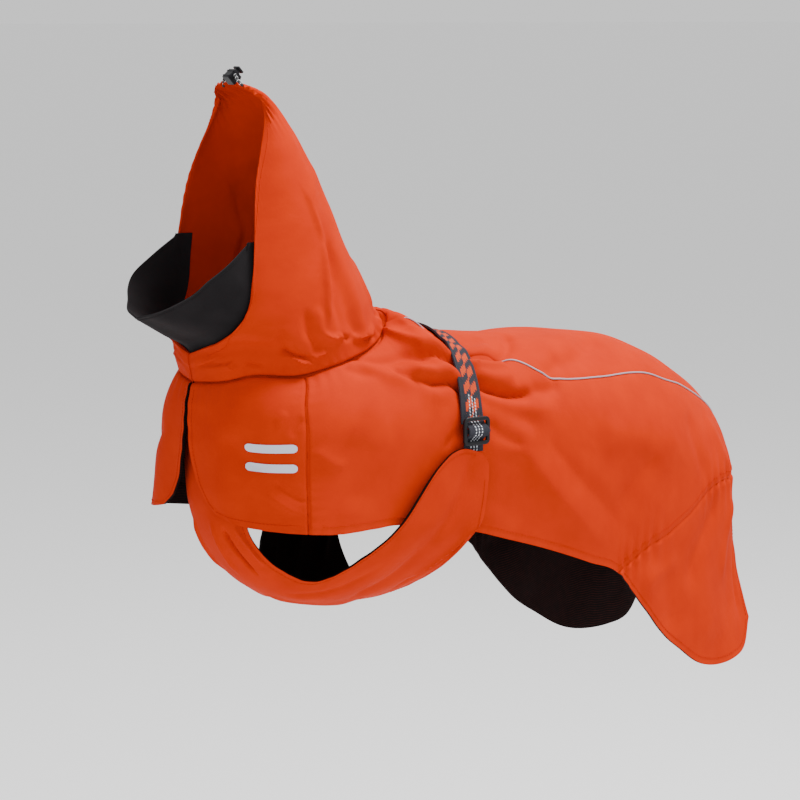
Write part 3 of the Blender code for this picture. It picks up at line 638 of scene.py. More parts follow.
def quad_mesh(name, verts, quads, uv):
    """Smooth mesh of four-sided faces, from points in millimetres."""
    mesh = bpy.data.meshes.new(name)
    quads = np.asarray(quads, dtype=np.int32)
    mesh.vertices.add(len(verts))
    mesh.vertices.foreach_set("co", (np.asarray(verts) * MM).astype(np.float32).ravel())
    mesh.loops.add(quads.size)
    mesh.loops.foreach_set("vertex_index", quads.ravel())
    mesh.polygons.add(len(quads))
    mesh.polygons.foreach_set("loop_start", np.arange(len(quads), dtype=np.int32) * 4)
    mesh.update(calc_edges=True)
    layer = mesh.uv_layers.new(name="cloth")
    layer.data.foreach_set("uv", (uv[quads.ravel()] * MM).astype(np.float32).ravel())
    mesh.polygons.foreach_set("use_smooth", np.ones(len(quads), dtype=bool))
    mesh.validate()
    mesh.set_sharp_from_angle(angle=math.radians(58))
    return mesh


def grid_quads(rows, cols):
    """Corner numbers of the faces of a grid."""
    corner = np.arange(rows * cols).reshape(rows, cols)
    quads = np.stack([corner[:-1, :-1], corner[:-1, 1:], corner[1:, 1:], corner[1:, :-1]], -1)
    return quads.reshape(-1, 4)


def closed_shell(name, outer, inner, look, flip=False, inside=None, dark_edges=()):
    """Closed thin cloth between two grids; another look covers its inside and named edges."""
    rows, cols = outer.shape[:2]
    count = rows * cols
    front = grid_quads(rows, cols)
    corner = np.arange(count).reshape(rows, cols)
    loop = np.concatenate([corner[0, :-1], corner[:-1, -1], corner[-1, :0:-1], corner[:0:-1, 0]])
    after = np.roll(loop, -1)
    rim = np.stack([after, loop, loop + count, after + count], -1)
    quads = np.concatenate([front, front[:, ::-1] + count, rim])
    if flip:
        quads = quads[:, ::-1]
    along, _ = edge_run(outer, "first")
    across, _ = edge_run(outer, "left")
    uv = np.stack([along, across], -1).reshape(-1, 2)
    verts = np.concatenate([outer.reshape(-1, 3), inner.reshape(-1, 3)])
    made = add_object(name, quad_mesh(name, verts, quads, np.concatenate([uv, uv])))
    made.data.materials.append(look)
    if inside:
        made.data.materials.append(inside)
        slots = np.zeros(len(quads), dtype=np.int32)
        slots[len(front):2 * len(front)] = 1
        start = 2 * len(front)
        for edge, run in (("first", cols), ("right", rows), ("last", cols), ("left", rows)):
            slots[start:start + run - 1] = edge in dark_edges
            start += run - 1
        made.data.polygons.foreach_set("material_index", slots)
    return made


def keep(made, nodes=()):
    """Ties a piece to the frame's root body and hides the imported nodes it stands for."""
    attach(made, "root")
    if nodes:
        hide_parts(*nodes)
    return made


def spread(start, end, count):
    return np.linspace(start, end, count)


def count_for(length):
    """Points that carry a length at the cloth step."""
    return max(3, int(round(length / (SETTINGS["cloth_step"] * 1000))) + 1)


# ---------------------------------------------------------------- body panels

def side_dress(side):
    """Side panel from the shoulder seam to the tail edge, down to the hem or the gathers."""
    station = spread(SHOULDER_SEAM + SEAM_HALF_GAP, TAIL_EDGE, count_for(600))[:, None]
    trim = SEAM_HALF_GAP / SEAM_GIRTH
    upper = np.maximum(neck_level(station), piping_level(station)) + trim
    gather = smooth(GATHER_LINE, station)[..., 0]
    ease = 2.0 + (gather - 2.0) * soft_step((station - HEM_NOTCH + 0.5) / 1.0)
    share = spread(0, 1, count_for(205))[None, :]
    level = upper + (ease - trim - upper) * share
    points, normals = dressed_body(station + 0 * level, level, side)
    points = dress_edges(points, normals, {"first": "seam", "last": "hem"})
    cut = int(np.searchsorted(station[:, 0], HEM_NOTCH))
    top = int(np.searchsorted(station[:, 0], PIPING_START))
    points[:top] = dress_edges(points[:top], normals[:top], {"left": "neck"})
    points[top:] = dress_edges(points[top:], normals[top:], {"left": "under_piping"})
    points[:cut] = dress_edges(points[:cut], normals[:cut], {"right": "hem"})
    points[cut:] = dress_edges(points[cut:], normals[cut:], {"right": "gather"})
    return points, normals


def front_dress(side):
    """Front panel from the slit to the shoulder seam, down to the hem."""
    share = spread(0.0, 1.0, count_for(150))[:, None]
    down = spread(0, 1, count_for(190))[None, :]
    right = SHOULDER_SEAM - SEAM_HALF_GAP
    first = straight(SLIT_LINE, 0.6 + 1.4 * down)
    station = first + (right - first) * share
    upper = neck_level(station) + SEAM_HALF_GAP / NECK_GIRTH
    level = upper + (2.0 - upper) * down
    station = straight(SLIT_LINE, level) * (1 - share) + right * share
    points, normals = dressed_body(station, level, side)
    styles = {"first": "hem", "last": "seam", "left": "neck", "right": "hem"}
    return dress_edges(points, normals, styles), normals


def back_dress():
    """Back panel between the two pipings, from the neck seam to the tail edge."""
    edge = spread(PIPING_START, TAIL_EDGE, count_for(430))
    rows = (edge - edge[0]) / (TAIL_EDGE - edge[0])
    across = spread(-1, 1, 2 * (count_for(140) // 2) + 1)
    front = NECK_BACK + 1.0 - (NECK_BACK + 1.0 - edge[0]) * np.abs(across) ** 1.6
    station = front[None, :] + (TAIL_EDGE - front[None, :]) * rows[:, None]
    level = (piping_level(station) - SEAM_HALF_GAP / SEAM_GIRTH) * np.abs(across)[None, :]
    side = np.where(across < 0, -1.0, 1.0)[None, :] * np.ones_like(station)
    points, normals = dressed_body(station, np.maximum(level, 0.0), side)
    styles = {"first": "neck", "last": "hem", "left": "under_piping", "right": "under_piping"}
    return dress_edges(points, normals, styles), normals


def wing_dress(side):
    """Thigh wing below the gathered seam."""
    station = spread(HEM_NOTCH + 1.0, TAIL_EDGE, count_for(290))[:, None]
    gather = smooth(GATHER_LINE, station)[..., 0] + 1.5 * SEAM_HALF_GAP / SEAM_GIRTH
    level = gather + (2.0 - gather) * spread(0, 1, count_for(190))[None, :]
    points, normals = dressed_body(station + 0 * level, level, side)
    styles = {"left": "gather", "right": "wing_hem", "last": "wing_hem"}
    return dress_edges(points, normals, styles), normals


def neck_tape_dress(side):
    """Seam tape inside the neck seam, from the slit at the front to the back panel."""
    station = spread(straight(SLIT_LINE, np.array([0.8]))[0], NECK_BACK, count_for(420))[:, None]
    offset = spread(-1, 1, 7)[None, :] * NECK_TAPE_HALF / SEAM_GIRTH
    level = np.maximum(neck_level(station) + offset, 0.0)
    points, normals = dressed_body(station + 0 * level, level, side)
    return points - normals * NECK_TAPE_DEPTH, normals


# ---------------------------------------------------------------- hood and collar

def face_cut(ring):
    """Place round a hood ring where the face edge cuts it."""
    row = smooth(HOOD_RINGS, ring)
    return 0.5 + 0.5 * np.sqrt(np.clip(1 - row[..., 2] / row[..., 5], 0.0, 1.0))


def hood_ring_points(ring, around, side):
    """Full hood rings: ring 0 at the crown, 1 at the neck; around 0 back, 1 front."""
    row = smooth(HOOD_RINGS, ring)
    back_y, back_z, _, face_y, face_z, wide = (row[..., k] for k in range(6))
    cut = face_cut(ring)
    share = (3 * around ** 2 - 2 * around ** 3) / (3 * cut ** 2 - 2 * cut ** 3)
    x = 4 * wide * around * (1 - around)
    y = back_y + (face_y - back_y) * share
    z = back_z + (face_z - back_z) * share
    return np.stack([x * side, y, z], axis=-1)


def neck_by_length(share, side):
    """Point of the neck seam at a share of its length from the back to the front."""
    stations = np.linspace(NECK_BACK, 0.0, 80)
    points = neck_point(stations, side)
    steps = np.linalg.norm(np.diff(points, axis=0), axis=1)
    run = np.concatenate([[0.0], np.cumsum(steps)])
    return neck_point(np.interp(share, run / run[-1], stations), side)


def hood_plain(ring, around, side):
    """Hood cloth without creases, drawn on to the neck seam at its foot."""
    point = hood_ring_points(ring, around, side)
    lowest = hood_ring_points(np.ones_like(ring), around, side)
    pull = soft_step((ring - 0.72) / 0.28) ** 1.5
    return point + (neck_by_length(around, side) - lowest) * pull[..., None]


def hood_creases(ring, around):
    """One long trough down the cheek, a ridge behind it and a shallow ear line."""
    low = soft_step((ring - 0.50) / 0.3) * soft_step((1.0 - ring) / 0.10)
    cheek = -3.2 * np.exp(-((around - 0.345) / 0.035) ** 2) * low
    ridge = 1.6 * np.exp(-((around - 0.285) / 0.035) ** 2) * low
    ear = -1.2 * np.exp(-((around - 0.22 - 0.1 * ring) / 0.05) ** 2)
    ear = ear * soft_step((ring - 0.2) / 0.1) * soft_step((0.7 - ring) / 0.15)
    return cheek + ridge + ear


def hood_cloth(ring, around, side, lift=0.0):
    """Creased outer face of the hood, moved out by lift."""
    ahead = hood_plain(np.clip(ring + 0.012, 0, 1), around, side)
    behind = hood_plain(np.clip(ring - 0.012, 0, 1), around, side)
    right = hood_plain(ring, np.clip(around + 0.012, 0, 1), side)
    left = hood_plain(ring, np.clip(around - 0.012, 0, 1), side)
    normal = unit(np.cross(right - left, ahead - behind) * side)
    height = lift + hood_creases(ring, around)
    return hood_plain(ring, around, side) + normal * height[..., None]


def hood_place(place, rise, side, lift=0.0):
    """Hood point by place along the face edge (0 crown, 1 throat) and rise from the neck."""
    place, rise = np.broadcast_arrays(np.asarray(place, float), np.asarray(rise, float))
    crown = np.clip(place / CROWN_SHARE, 0.0, 1.0)
    down = np.clip((place - CROWN_SHARE) / (1 - CROWN_SHARE), 0.0, 1.0)
    edge_ring = THROAT_RING * down
    edge_around = face_cut(edge_ring) * crown
    ring = 1 + (edge_ring - 1) * rise
    around = place + (edge_around - place) * rise
    return hood_cloth(ring, around, side, lift)


def hood_dress(side):
    """Hood half from the centre back to the throat, face edge in the first row."""
    crown = spread(0.0, CROWN_SHARE, count_for(60))
    rest = spread(CROWN_SHARE, 1.0, count_for(250))
    place = np.concatenate([crown[:-1], rest])[None, :]
    rise = spread(1.0, 0.0, count_for(230))[:, None]
    place, rise = np.broadcast_arrays(place, rise)
    points = hood_place(place, rise, side, 0.0)
    normals = hood_place(place, rise, side, 1.0) - points
    fine = SETTINGS["fold_strength"] * fold_sum(HOOD_FOLDS, place, rise, HOOD_FOLD_SCALE)
    bunch = CROWN_BUNCH * np.sin(place * 2 * math.pi / CROWN_BUNCH_PITCH)
    bunch = bunch * soft_step((CROWN_SHARE * 1.25 - place) / 0.08) * soft_step((rise - 0.72) / 0.2)
    height = fine + bunch + unevenness(points) * soft_step((1 - rise) / 0.1 + 0.2)
    points = points + normals * height[..., None]
    styles = {"first": "face", "last": "neck", "left": "seam", "right": "seam"}
    points = dress_edges(points, normals, styles)
    points[:, (0, -1), 0] = side * HOOD_SEAM_HALF_GAP
    normals[:, (0, -1), 0] = 0.0
    points[-1, :, 2] += 2 * SEAM_HALF_GAP
    return points, normals


def collar_side(side, cols):
    """Collar from the centre front to the cheek, root first and free edge last."""
    share = spread(0.0, 1.0, cols)
    rim = hood_place(1.0 - COLLAR_SPAN * share, 1.0, side, -(COAT_WALL + COLLAR_GAP))
    row = smooth(COLLAR_EDGE, share)
    edge = row[:, :3] * np.array([side, 1.0, 1.0])
    rearward = np.stack([0 * share, 1 + 0 * share, -1.6 * (1 - share) ** 2], axis=-1)
    rearward = unit(rearward)
    root = rim + rearward * COLLAR_ROOT
    root[:, 0] -= side * COLLAR_INSET
    ahead = rim - rearward * COLLAR_OVERRUN
    middle = (ahead + edge) / 2
    middle[:, 2] -= row[:, 3]
    for row_points in (root, rim, ahead, middle, edge):
        row_points[0, 0] = 0.0
    return np.stack([root, rim, ahead, middle, edge])


def collar_dress():
    """Inner collar from cheek to cheek, with three soft folds."""
    half = count_for(130)
    left = collar_side(1.0, half)
    right = collar_side(-1.0, half)
    coarse = np.concatenate([right[:, ::-1], left[:, 1:]], axis=1)
    rows = spread(0.0, 1.0, count_for(95))
    knots = np.array([0.0, 0.12, 0.17, 0.60, 1.0])
    table = np.concatenate([knots[:, None], coarse.reshape(5, -1)], axis=1)
    points = smooth(table, rows).reshape(len(rows), coarse.shape[1], 3)
    along = np.gradient(points, axis=0)
    aside = np.gradient(points, axis=1)
    normals = unit(np.cross(aside, along))
    share = spread(-1, 1, points.shape[1])[None, :]
    out = rows[:, None]
    soft = 1.6 * np.exp(-((share - 0.28 - 0.25 * out) / 0.10) ** 2) * soft_step((out - 0.2) / 0.4)
    soft = soft - 1.8 * np.exp(-((share - 0.10 - 0.5 * out) / 0.09) ** 2) * soft_step(out / 0.5)
    soft = soft + 1.2 * np.exp(-((share + 0.34 + 0.2 * out) / 0.10) ** 2) * soft_step(out / 0.6)
    fade = soft_step((1.0 - np.abs(share)) / 0.15) * soft_step((out - 0.15) / 0.1)
    points = points + normals * (soft * fade)[..., None]
    return points, normals


# ---------------------------------------------------------------- belly panel

def round_tabs(points):
    """Rounds the rear corners of the belly panel's two tabs."""
    for edge, sign in (("left", -1.0), ("right", 1.0)):
        behind, _ = edge_run(points, "last")
        aside, _ = edge_run(points, edge)
        u = np.clip(1 - behind / TAB_CORNER, 0, 1)[..., None]
        v = np.clip(1 - aside / TAB_CORNER, 0, 1)[..., None]
        rearward = unit(np.gradient(points, axis=0))
        outward = unit(np.gradient(points, axis=1)) * sign
        points = points + TAB_CORNER * (u * (np.sqrt(1 - v * v / 2) - 1) * rearward
                                        + v * (np.sqrt(1 - u * u / 2) - 1) * outward)
    return points


def belly_dress():
    """Belly panel from tab to tab under the chest."""
    rows = count_for(420)
    across = spread(-1.0, 1.0, 2 * (count_for(230) // 2) + 1)
    table = smooth(BELLY_SECTIONS, spread(0.0, 1.0, rows))
    half = table[:, 2:].reshape(rows, 4, 3)
    centre = np.concatenate([np.zeros((rows, 1)), table[:, :2]], axis=1)[:, None, :]
    other = half[:, ::-1] * np.array([-1.0, 1.0, 1.0])
    knots = np.concatenate([other, centre, half], axis=1)
    line = np.concatenate([spread(-1, 1, 9)[:, None],
                           knots.transpose(1, 0, 2).reshape(9, -1)], axis=1)
    points = smooth(line, across).reshape(len(across), rows, 3).transpose(1, 0, 2)
    normals = unit(np.cross(np.gradient(points, axis=0), np.gradient(points, axis=1)))
    place = spread(0.0, 1.0, rows)[:, None] + 0 * across
    share = np.abs(across)[None, :] + 0 * place
    folds = SETTINGS["fold_strength"] * fold_sum(BELLY_FOLDS, place, share, BELLY_FOLD_SCALE)
    behind, _ = edge_run(points, "last")
    tab_edge = TAB_LIFT * np.exp(-(behind / TAB_LIFT_REACH) ** 2) * soft_step((share - 0.5) / 0.25)
    height = folds + 0.8 * unevenness(points) + tab_edge
    points = points + normals * height[..., None]
    styles = {"first": "plain", "last": "hem", "left": "hem", "right": "hem"}
    return round_tabs(dress_edges(points, normals, styles)), normals


# ---------------------------------------------------------------- strap and trims

def strap_station(level):
    """Station of the strap's centre line at a level."""
    return smooth(STRAP_LINE, np.abs(level))[..., 0]


def strap_line(count, lift):
    """Levels, centre line, outward and rearward directions of the back strap."""
    level = spread(-STRAP_END, STRAP_END, count)
    side = np.where(level < 0, -1.0, 1.0)
    station = strap_station(level)
    lowered = lift - STRAP_SETTLE * (1 - soft_step((np.abs(level) - 0.30) / 0.12))
    centre = body_cloth(station, np.abs(level), side, lowered, 0.0)
    along = unit(np.gradient(centre, axis=0))
    ahead = body_base(station + 2.0, np.abs(level), side)
    rearward = unit(ahead - body_base(station - 2.0, np.abs(level), side))
    rearward = unit(rearward - along * (rearward * along).sum(-1, keepdims=True))
    return level, centre, unit(np.cross(along, rearward)), rearward


def strap_dress():
    """Webbing over the back: thick woven borders, the front one tipped up near the top."""
    level, centre, outward, rearward = strap_line(count_for(400), STRAP_LIFT)
    across = spread(-1, 1, 25)[None, :]
    borders = STRAP_BORDER * np.exp(-((np.abs(across) - 0.88) / 0.10) ** 4)
    groove = STRAP_GROOVE * np.exp(-((across + 0.52) / 0.07) ** 2)
    tipped = soft_step((0.75 - np.abs(level)) / 0.4)[:, None]
    tip = STRAP_TIP * np.clip((-across - 0.52) / 0.48, 0, 1) * tipped
    height = borders + groove * (0.4 + 0.6 * tipped) + tip
    grid = centre[:, None] + rearward[:, None] * (across * STRAP_WIDTH / 2)[..., None]
    outer = grid + outward[:, None] * height[..., None]
    inner = grid + outward[:, None] * (tip - STRAP_WALL)[..., None]
    return outer, inner


def webbing_strip(side, profile, half_widths, shift):
    """Short webbing strip beside the buckle: rows follow (x, z), columns run along Y."""
    rows = np.asarray(profile, dtype=float)
    places = spread(0.0, 1.0, 22)
    knots = np.concatenate([spread(0, 1, len(rows))[:, None], rows,
                            np.asarray(half_widths)[:, None], np.asarray(shift)[:, None]], 1)
    line = smooth(knots, places)
    x, z, half, push = (line[:, k] for k in range(4))
    slope = unit(np.gradient(np.stack([x, z], -1), axis=0))
    across = spread(-1, 1, 13)
    y = BUCKLE_CENTRE[1] + push[:, None] + half[:, None] * across[None, :]
    outer = np.stack([side * (x[:, None] + 0 * y), y, z[:, None] + 0 * y], -1)
    edge = STRIP_BORDER * np.exp(-((np.abs(across) - 0.88) / 0.1) ** 4)[None, :]
    normal = np.stack([-side * slope[:, 1], 0 * x, slope[:, 0]], -1)
    normal = normal * np.sign(normal[:, 0:1] * side + 1e-6)
    outer = outer + normal[:, None] * edge[..., None]
    inner = outer - normal[:, None] * STRIP_WALL
    return outer, inner


def line_from_edge(points, normals, edge, distance):
    """Line on a grid at a distance from one of its edges, with its normals."""
    away, _ = edge_run(points, edge)
    if edge in ("first", "last"):
        away = away.T
        points = points.transpose(1, 0, 2)
        normals = normals.transpose(1, 0, 2)
    line = np.zeros((len(away), 3))
    up = np.zeros((len(away), 3))
    for i, gaps in enumerate(away):
        order = np.argsort(gaps)
        for k in range(3):
            line[i, k] = np.interp(distance, gaps[order], points[i, order, k])
            up[i, k] = np.interp(distance, gaps[order], normals[i, order, k])
    return line, unit(up)


def start_curve(name, radius, roundness, look):
    """Empty round curve, closed at its ends."""
    curve = bpy.data.curves.new(name, "CURVE")
    curve.dimensions = "3D"
    curve.bevel_depth = radius * MM
    curve.bevel_resolution = roundness
    curve.use_fill_caps = True
    curve.materials.append(look)
    return curve


def add_stitches(name, lines, look, radius=0.24, pitch=3.4, length=2.4, lift=0.12):
    """Separate short thread stitches along lines, as one curve of short splines."""
    curve = start_curve(name, radius, 1, look)
    for line, up in lines:
        run = np.insert(np.cumsum(np.linalg.norm(np.diff(line, axis=0), axis=-1)), 0, 0.0)
        starts = np.arange(2.0, run[-1] - pitch, pitch)
        for start in starts:
            spline = curve.splines.new("POLY")
            spline.points.add(2)
            for point, share, rise in zip(spline.points, (0.0, 0.5, 1.0), (0.0, 0.14, 0.0)):
                at = start + share * length
                place = [np.interp(at, run, line[:, k]) for k in range(3)]
                out = [np.interp(at, run, up[:, k]) for k in range(3)]
                place = [(p + (lift + rise) * o) * MM for p, o in zip(place, out)]
                point.co = (*place, 1.0)
    return keep(add_object(name, curve))


def add_tube(name, line, radius, look, nodes=()):
    """Round cord through a line of points, closed at both ends."""
    curve = start_curve(name, radius, 3, look)
    spline = curve.splines.new("POLY")
    spline.points.add(len(line) - 1)
    for point, place in zip(spline.points, line):
        point.co = (*(place * MM), 1.0)
    return keep(add_object(name, curve), nodes)


def piping_line(side):
    """Line of the piping on the dressed cloth, dipped under it on its tucked stretches."""
    station = spread(PIPING_START + 2.0, TAIL_EDGE - 3.0, 220)
    points, normals = dressed_body(station, piping_level(station), side)
    tucked = sum(soft_step((station - start) / PIPING_TUCK_FADE + 0.5)
                 * soft_step((end - station) / PIPING_TUCK_FADE + 0.5)
                 for start, end in PIPING_TUCKS)
    return points + normals * (PIPING_LIFT - PIPING_TUCK_DEPTH * tucked)[..., None]


def bar_dress(side, middle):
    """Short reflective bar with rounded ends on a front panel."""
    station = spread(BAR_START, BAR_END, 40)
    from_end = np.minimum(station - BAR_START, BAR_END - station) + 0.3
    radius = BAR_HEIGHT / 2
    half = np.sqrt(np.clip(1 - (1 - np.clip(from_end / radius, 0, 1)) ** 2, 0, 1)) * radius
    level = middle + spread(-1, 1, 9)[None, :] * half[:, None] / BAR_GIRTH
    points, normals = dressed_body(station[:, None] + 0 * level, level, side)
    return points, normals


# ---------------------------------------------------------------- hard pieces

def start_block(size, centre, turn=(0.0, 0.0, 0.0)):
    """Box of a size in millimetres, with its place and turn."""
    bpy.ops.object.select_all(action="DESELECT")
    bpy.ops.mesh.primitive_cube_add(size=1.0)
    made = bpy.context.object
    made.scale = [s * MM for s in size]
    bpy.ops.object.transform_apply(location=False, rotation=False, scale=True)
    made.rotation_euler = turn
    made.location = [c * MM for c in centre]
    return made


def start_rod(radius, height, centre, turn):
    """Round rod of a radius and height in millimetres, with its place and turn."""
    bpy.ops.object.select_all(action="DESELECT")
    bpy.ops.mesh.primitive_cylinder_add(vertices=32, radius=radius * MM, depth=height * MM)
    made = bpy.context.object
    made.rotation_euler = turn
    made.location = [c * MM for c in centre]
    return made


def pick(made):
    """Makes one object the only selected one, and the active one."""
    bpy.ops.object.select_all(action="DESELECT")
    made.select_set(True)
    bpy.context.view_layer.objects.active = made


def settle(made):
    """Writes place and turn into the mesh."""
    pick(made)
    bpy.ops.object.transform_apply(location=True, rotation=True, scale=True)


def edit_chosen(made, kind, chosen, step):
    """Selects the faces or edges that chosen(item) accepts and runs an edit step on them."""
    pick(made)
    bpy.ops.object.mode_set(mode="EDIT")
    bpy.ops.mesh.select_mode(type=kind)
    bpy.ops.mesh.select_all(action="DESELECT")
    bpy.ops.object.mode_set(mode="OBJECT")
    for item in made.data.polygons if kind == "FACE" else made.data.edges:
        item.select = bool(chosen(item))
    bpy.ops.object.mode_set(mode="EDIT")
    step()
    bpy.ops.object.mode_set(mode="OBJECT")


def runs_through(made, edge):
    """Whether an edge of a block runs along X."""
    verts = made.data.vertices
    line = verts[edge.vertices[1]].co - verts[edge.vertices[0]].co
    return abs(line.x) > 0.99 * line.length


def join_all(name, parts, look):
    """Joins parts into the first of them, under one name and look."""
    bpy.ops.object.select_all(action="DESELECT")
    for part in parts:
        part.select_set(True)
    bpy.context.view_layer.objects.active = parts[0]
    bpy.ops.object.join()
    made = bpy.context.object
    made.name = name
    made.data.name = name
    made.data.materials.clear()
    made.data.materials.append(look)
    return made


def soften(made, width):
    """Small rounded edges on a hard piece."""
    edge = made.modifiers.new("edges", "BEVEL")
    edge.width = width * MM
    edge.segments = 3
    edge.limit_method = "ANGLE"
    edge.angle_limit = math.radians(35)
    pick(made)
    bpy.ops.object.shade_smooth_by_angle(angle=math.radians(40))


def build_buckle(label, side, look):
    """Ladder-lock buckle: a rounded frame and a centre bar."""
    x, y, z = BUCKLE_CENTRE
    ring = start_block((BUCKLE_DEPTH, BUCKLE_WIDTH, BUCKLE_HEIGHT), (0, 0, 0))
    edit_chosen(ring, "EDGE", lambda edge: runs_through(ring, edge),
                lambda: bpy.ops.mesh.bevel(offset=BUCKLE_CORNER * MM, segments=5,
                                           affect="EDGES"))
    edit_chosen(ring, "FACE", lambda face: abs(face.normal.x) > 0.9,
                lambda: (bpy.ops.mesh.inset(thickness=BUCKLE_RIM * MM, use_individual=True),
                         bpy.ops.mesh.bridge_edge_loops()))
    bar = start_block(BUCKLE_BAR, (0, 0, 0))
    for part in (ring, bar):
        soften(part, BUCKLE_EDGE)
        part.location = (side * x * MM, y * MM, z * MM)
        part.rotation_euler = (0.0, 0.0, 0.0)
        settle(part)
    return keep(join_all("buckle_" + label, [ring, bar], look),
                ["ladder_buckle_" + label])


def build_cord_lock(look):
    """Sprung cord lock: a ribbed block with a cross bore, and a flanged button above it."""
    turn = (-LOCK_LEAN, 0.0, 0.0)
    lean = np.array([0.0, math.sin(LOCK_LEAN), math.cos(LOCK_LEAN)])
    centre = np.array(LOCK_CENTRE)
    low = centre - LOCK_BODY_DROP * lean
    body = start_block(LOCK_BODY, low, turn)
    settle(body)
    bore = start_rod(LOCK_BORE, 30.0, low, (0.0, math.pi / 2, 0.0))
    settle(bore)
    soften(body, 0.6)
    cut = body.modifiers.new("bore", "BOOLEAN")
    cut.object = bore
    cut.operation = "DIFFERENCE"
    cut.solver = "EXACT"
    bpy.ops.object.modifier_apply(modifier="edges")
    bpy.ops.object.modifier_apply(modifier="bore")
    bpy.data.objects.remove(bore, do_unlink=True)
    pieces = [body]
    for place in LOCK_RIB_PLACES:
        pieces.append(start_block(LOCK_RIB, centre + (place - LOCK_BODY_DROP) * lean, turn))
        settle(pieces[-1])
    barrel = join_all("cord_lock_body", pieces, look)
    keep(barrel, ["cord_lock_barrel"])
    radius, height, rise = LOCK_STEM
    stem = start_rod(radius, height, centre + rise * lean, turn)
    cap = start_block(LOCK_CAP, centre + LOCK_CAP_RISE * lean, turn)
    for part in (stem, cap):
        settle(part)
    soften(cap, 0.8)
    bpy.ops.object.modifier_apply(modifier="edges")
    button = join_all("cord_lock_plunger", [cap, stem], look)
    keep(button, ["cord_lock_button"])


# ---------------------------------------------------------------- looks

class Look:
    """One procedural material, its nodes added by short calls."""

    def __init__(self, name, roughness, shine):
        self.made = bpy.data.materials.new(name)
        self.made.use_nodes = True
        self.tree = self.made.node_tree
        self.shader = self.tree.nodes["Principled BSDF"]
        self.shader.inputs["Roughness"].default_value = roughness
        self.shader.inputs["Specular IOR Level"].default_value = shine
        self.coords = self.tree.nodes.new("ShaderNodeTexCoord")

    def link(self, source, target):
        self.tree.links.new(source, target)

    def math(self, kind, first, second=0.0):
        node = self.tree.nodes.new("ShaderNodeMath")
        node.operation = kind
        for socket, value in zip(node.inputs, (first, second)):
            if isinstance(value, (int, float)):
                socket.default_value = value
            else:
                self.link(value, socket)
        return node.outputs[0]

    def noise(self, scale, detail=2.0):
        node = self.tree.nodes.new("ShaderNodeTexNoise")
        node.inputs["Scale"].default_value = scale
        node.inputs["Detail"].default_value = detail
        self.link(self.coords.outputs["Object"], node.inputs["Vector"])
        return node.outputs["Fac"]

    def uv(self):
        node = self.tree.nodes.new("ShaderNodeSeparateXYZ")
        self.link(self.coords.outputs["UV"], node.inputs[0])
        return node.outputs[0], node.outputs[1]

    def wave(self, run, pitch, phase=0.0):
        """Sine of a run in metres, 0 to 1."""
        turn = self.math("MULTIPLY", run, 2 * math.pi / pitch)
        sine = self.math("SINE", self.math("ADD", turn, phase))
        return self.math("ADD", self.math("MULTIPLY", sine, 0.5), 0.5)

    def mix(self, share, first, second):
        node = self.tree.nodes.new("ShaderNodeMix")
        node.data_type = "RGBA"
        for socket, value in ((node.inputs["Factor"], share), (node.inputs[6], first),
                              (node.inputs[7], second)):
            if isinstance(value, tuple):
                socket.default_value = (*value, 1.0)
            elif isinstance(value, (int, float)):
                socket.default_value = value
            else:
                self.link(value, socket)
        return node.outputs[2]

    def colour(self, value):
        if isinstance(value, tuple):
            self.shader.inputs["Base Color"].default_value = (*value, 1.0)
        else:
            self.link(value, self.shader.inputs["Base Color"])

    def bump(self, height, strength, distance):
        node = self.tree.nodes.new("ShaderNodeBump")
        node.inputs["Strength"].default_value = strength
        node.inputs["Distance"].default_value = distance
        self.link(height, node.inputs["Height"])
        self.link(node.outputs[0], self.shader.inputs["Normal"])

    def sheen(self, weight, roughness, tint):
        self.shader.inputs["Sheen Weight"].default_value = weight
        self.shader.inputs["Sheen Roughness"].default_value = roughness
        self.shader.inputs["Sheen Tint"].default_value = (*tint, 1.0)


def woven(name, first, second, roughness, thread, sheen, tint, shine):
    """Plain woven cloth: two near colours, a fine weave and a slight crinkle."""
    look = Look(name, roughness, shine)
    u, v = look.uv()
    weave = look.math("MULTIPLY", look.wave(u, thread), look.wave(v, thread))
    patches = look.noise(38.0, 3.0)
    crinkle = look.math("ADD", look.noise(420.0, 3.0),
                        look.math("MULTIPLY", look.noise(75.0, 2.0), 4.0))
    look.colour(look.mix(look.math("SUBTRACT", look.math("MULTIPLY", patches, 1.6), 0.3),
                         first, second))
    height = look.math("ADD", look.math("MULTIPLY", weave, 0.35), crinkle)
    look.bump(height, 0.22, 0.0006)
    look.sheen(sheen, 0.45, tint)
    return look.made


def mesh_lining():
    """Black-brown mesh with fine reddish lines along the hem."""
    look = Look("mesh_lining", 0.88, 0.08)
    u, v = look.uv()
    lines = look.math("POWER", look.wave(v, 0.0026), 7.0)
    broken = look.math("MULTIPLY", lines, look.noise(160.0, 2.0))
    holes = look.math("MULTIPLY", look.wave(u, 0.0013), look.wave(v, 0.0013))
    look.colour(look.mix(broken, MESH_BLACK, MESH_RED))
    look.bump(holes, 0.5, 0.0004)
    return look.made


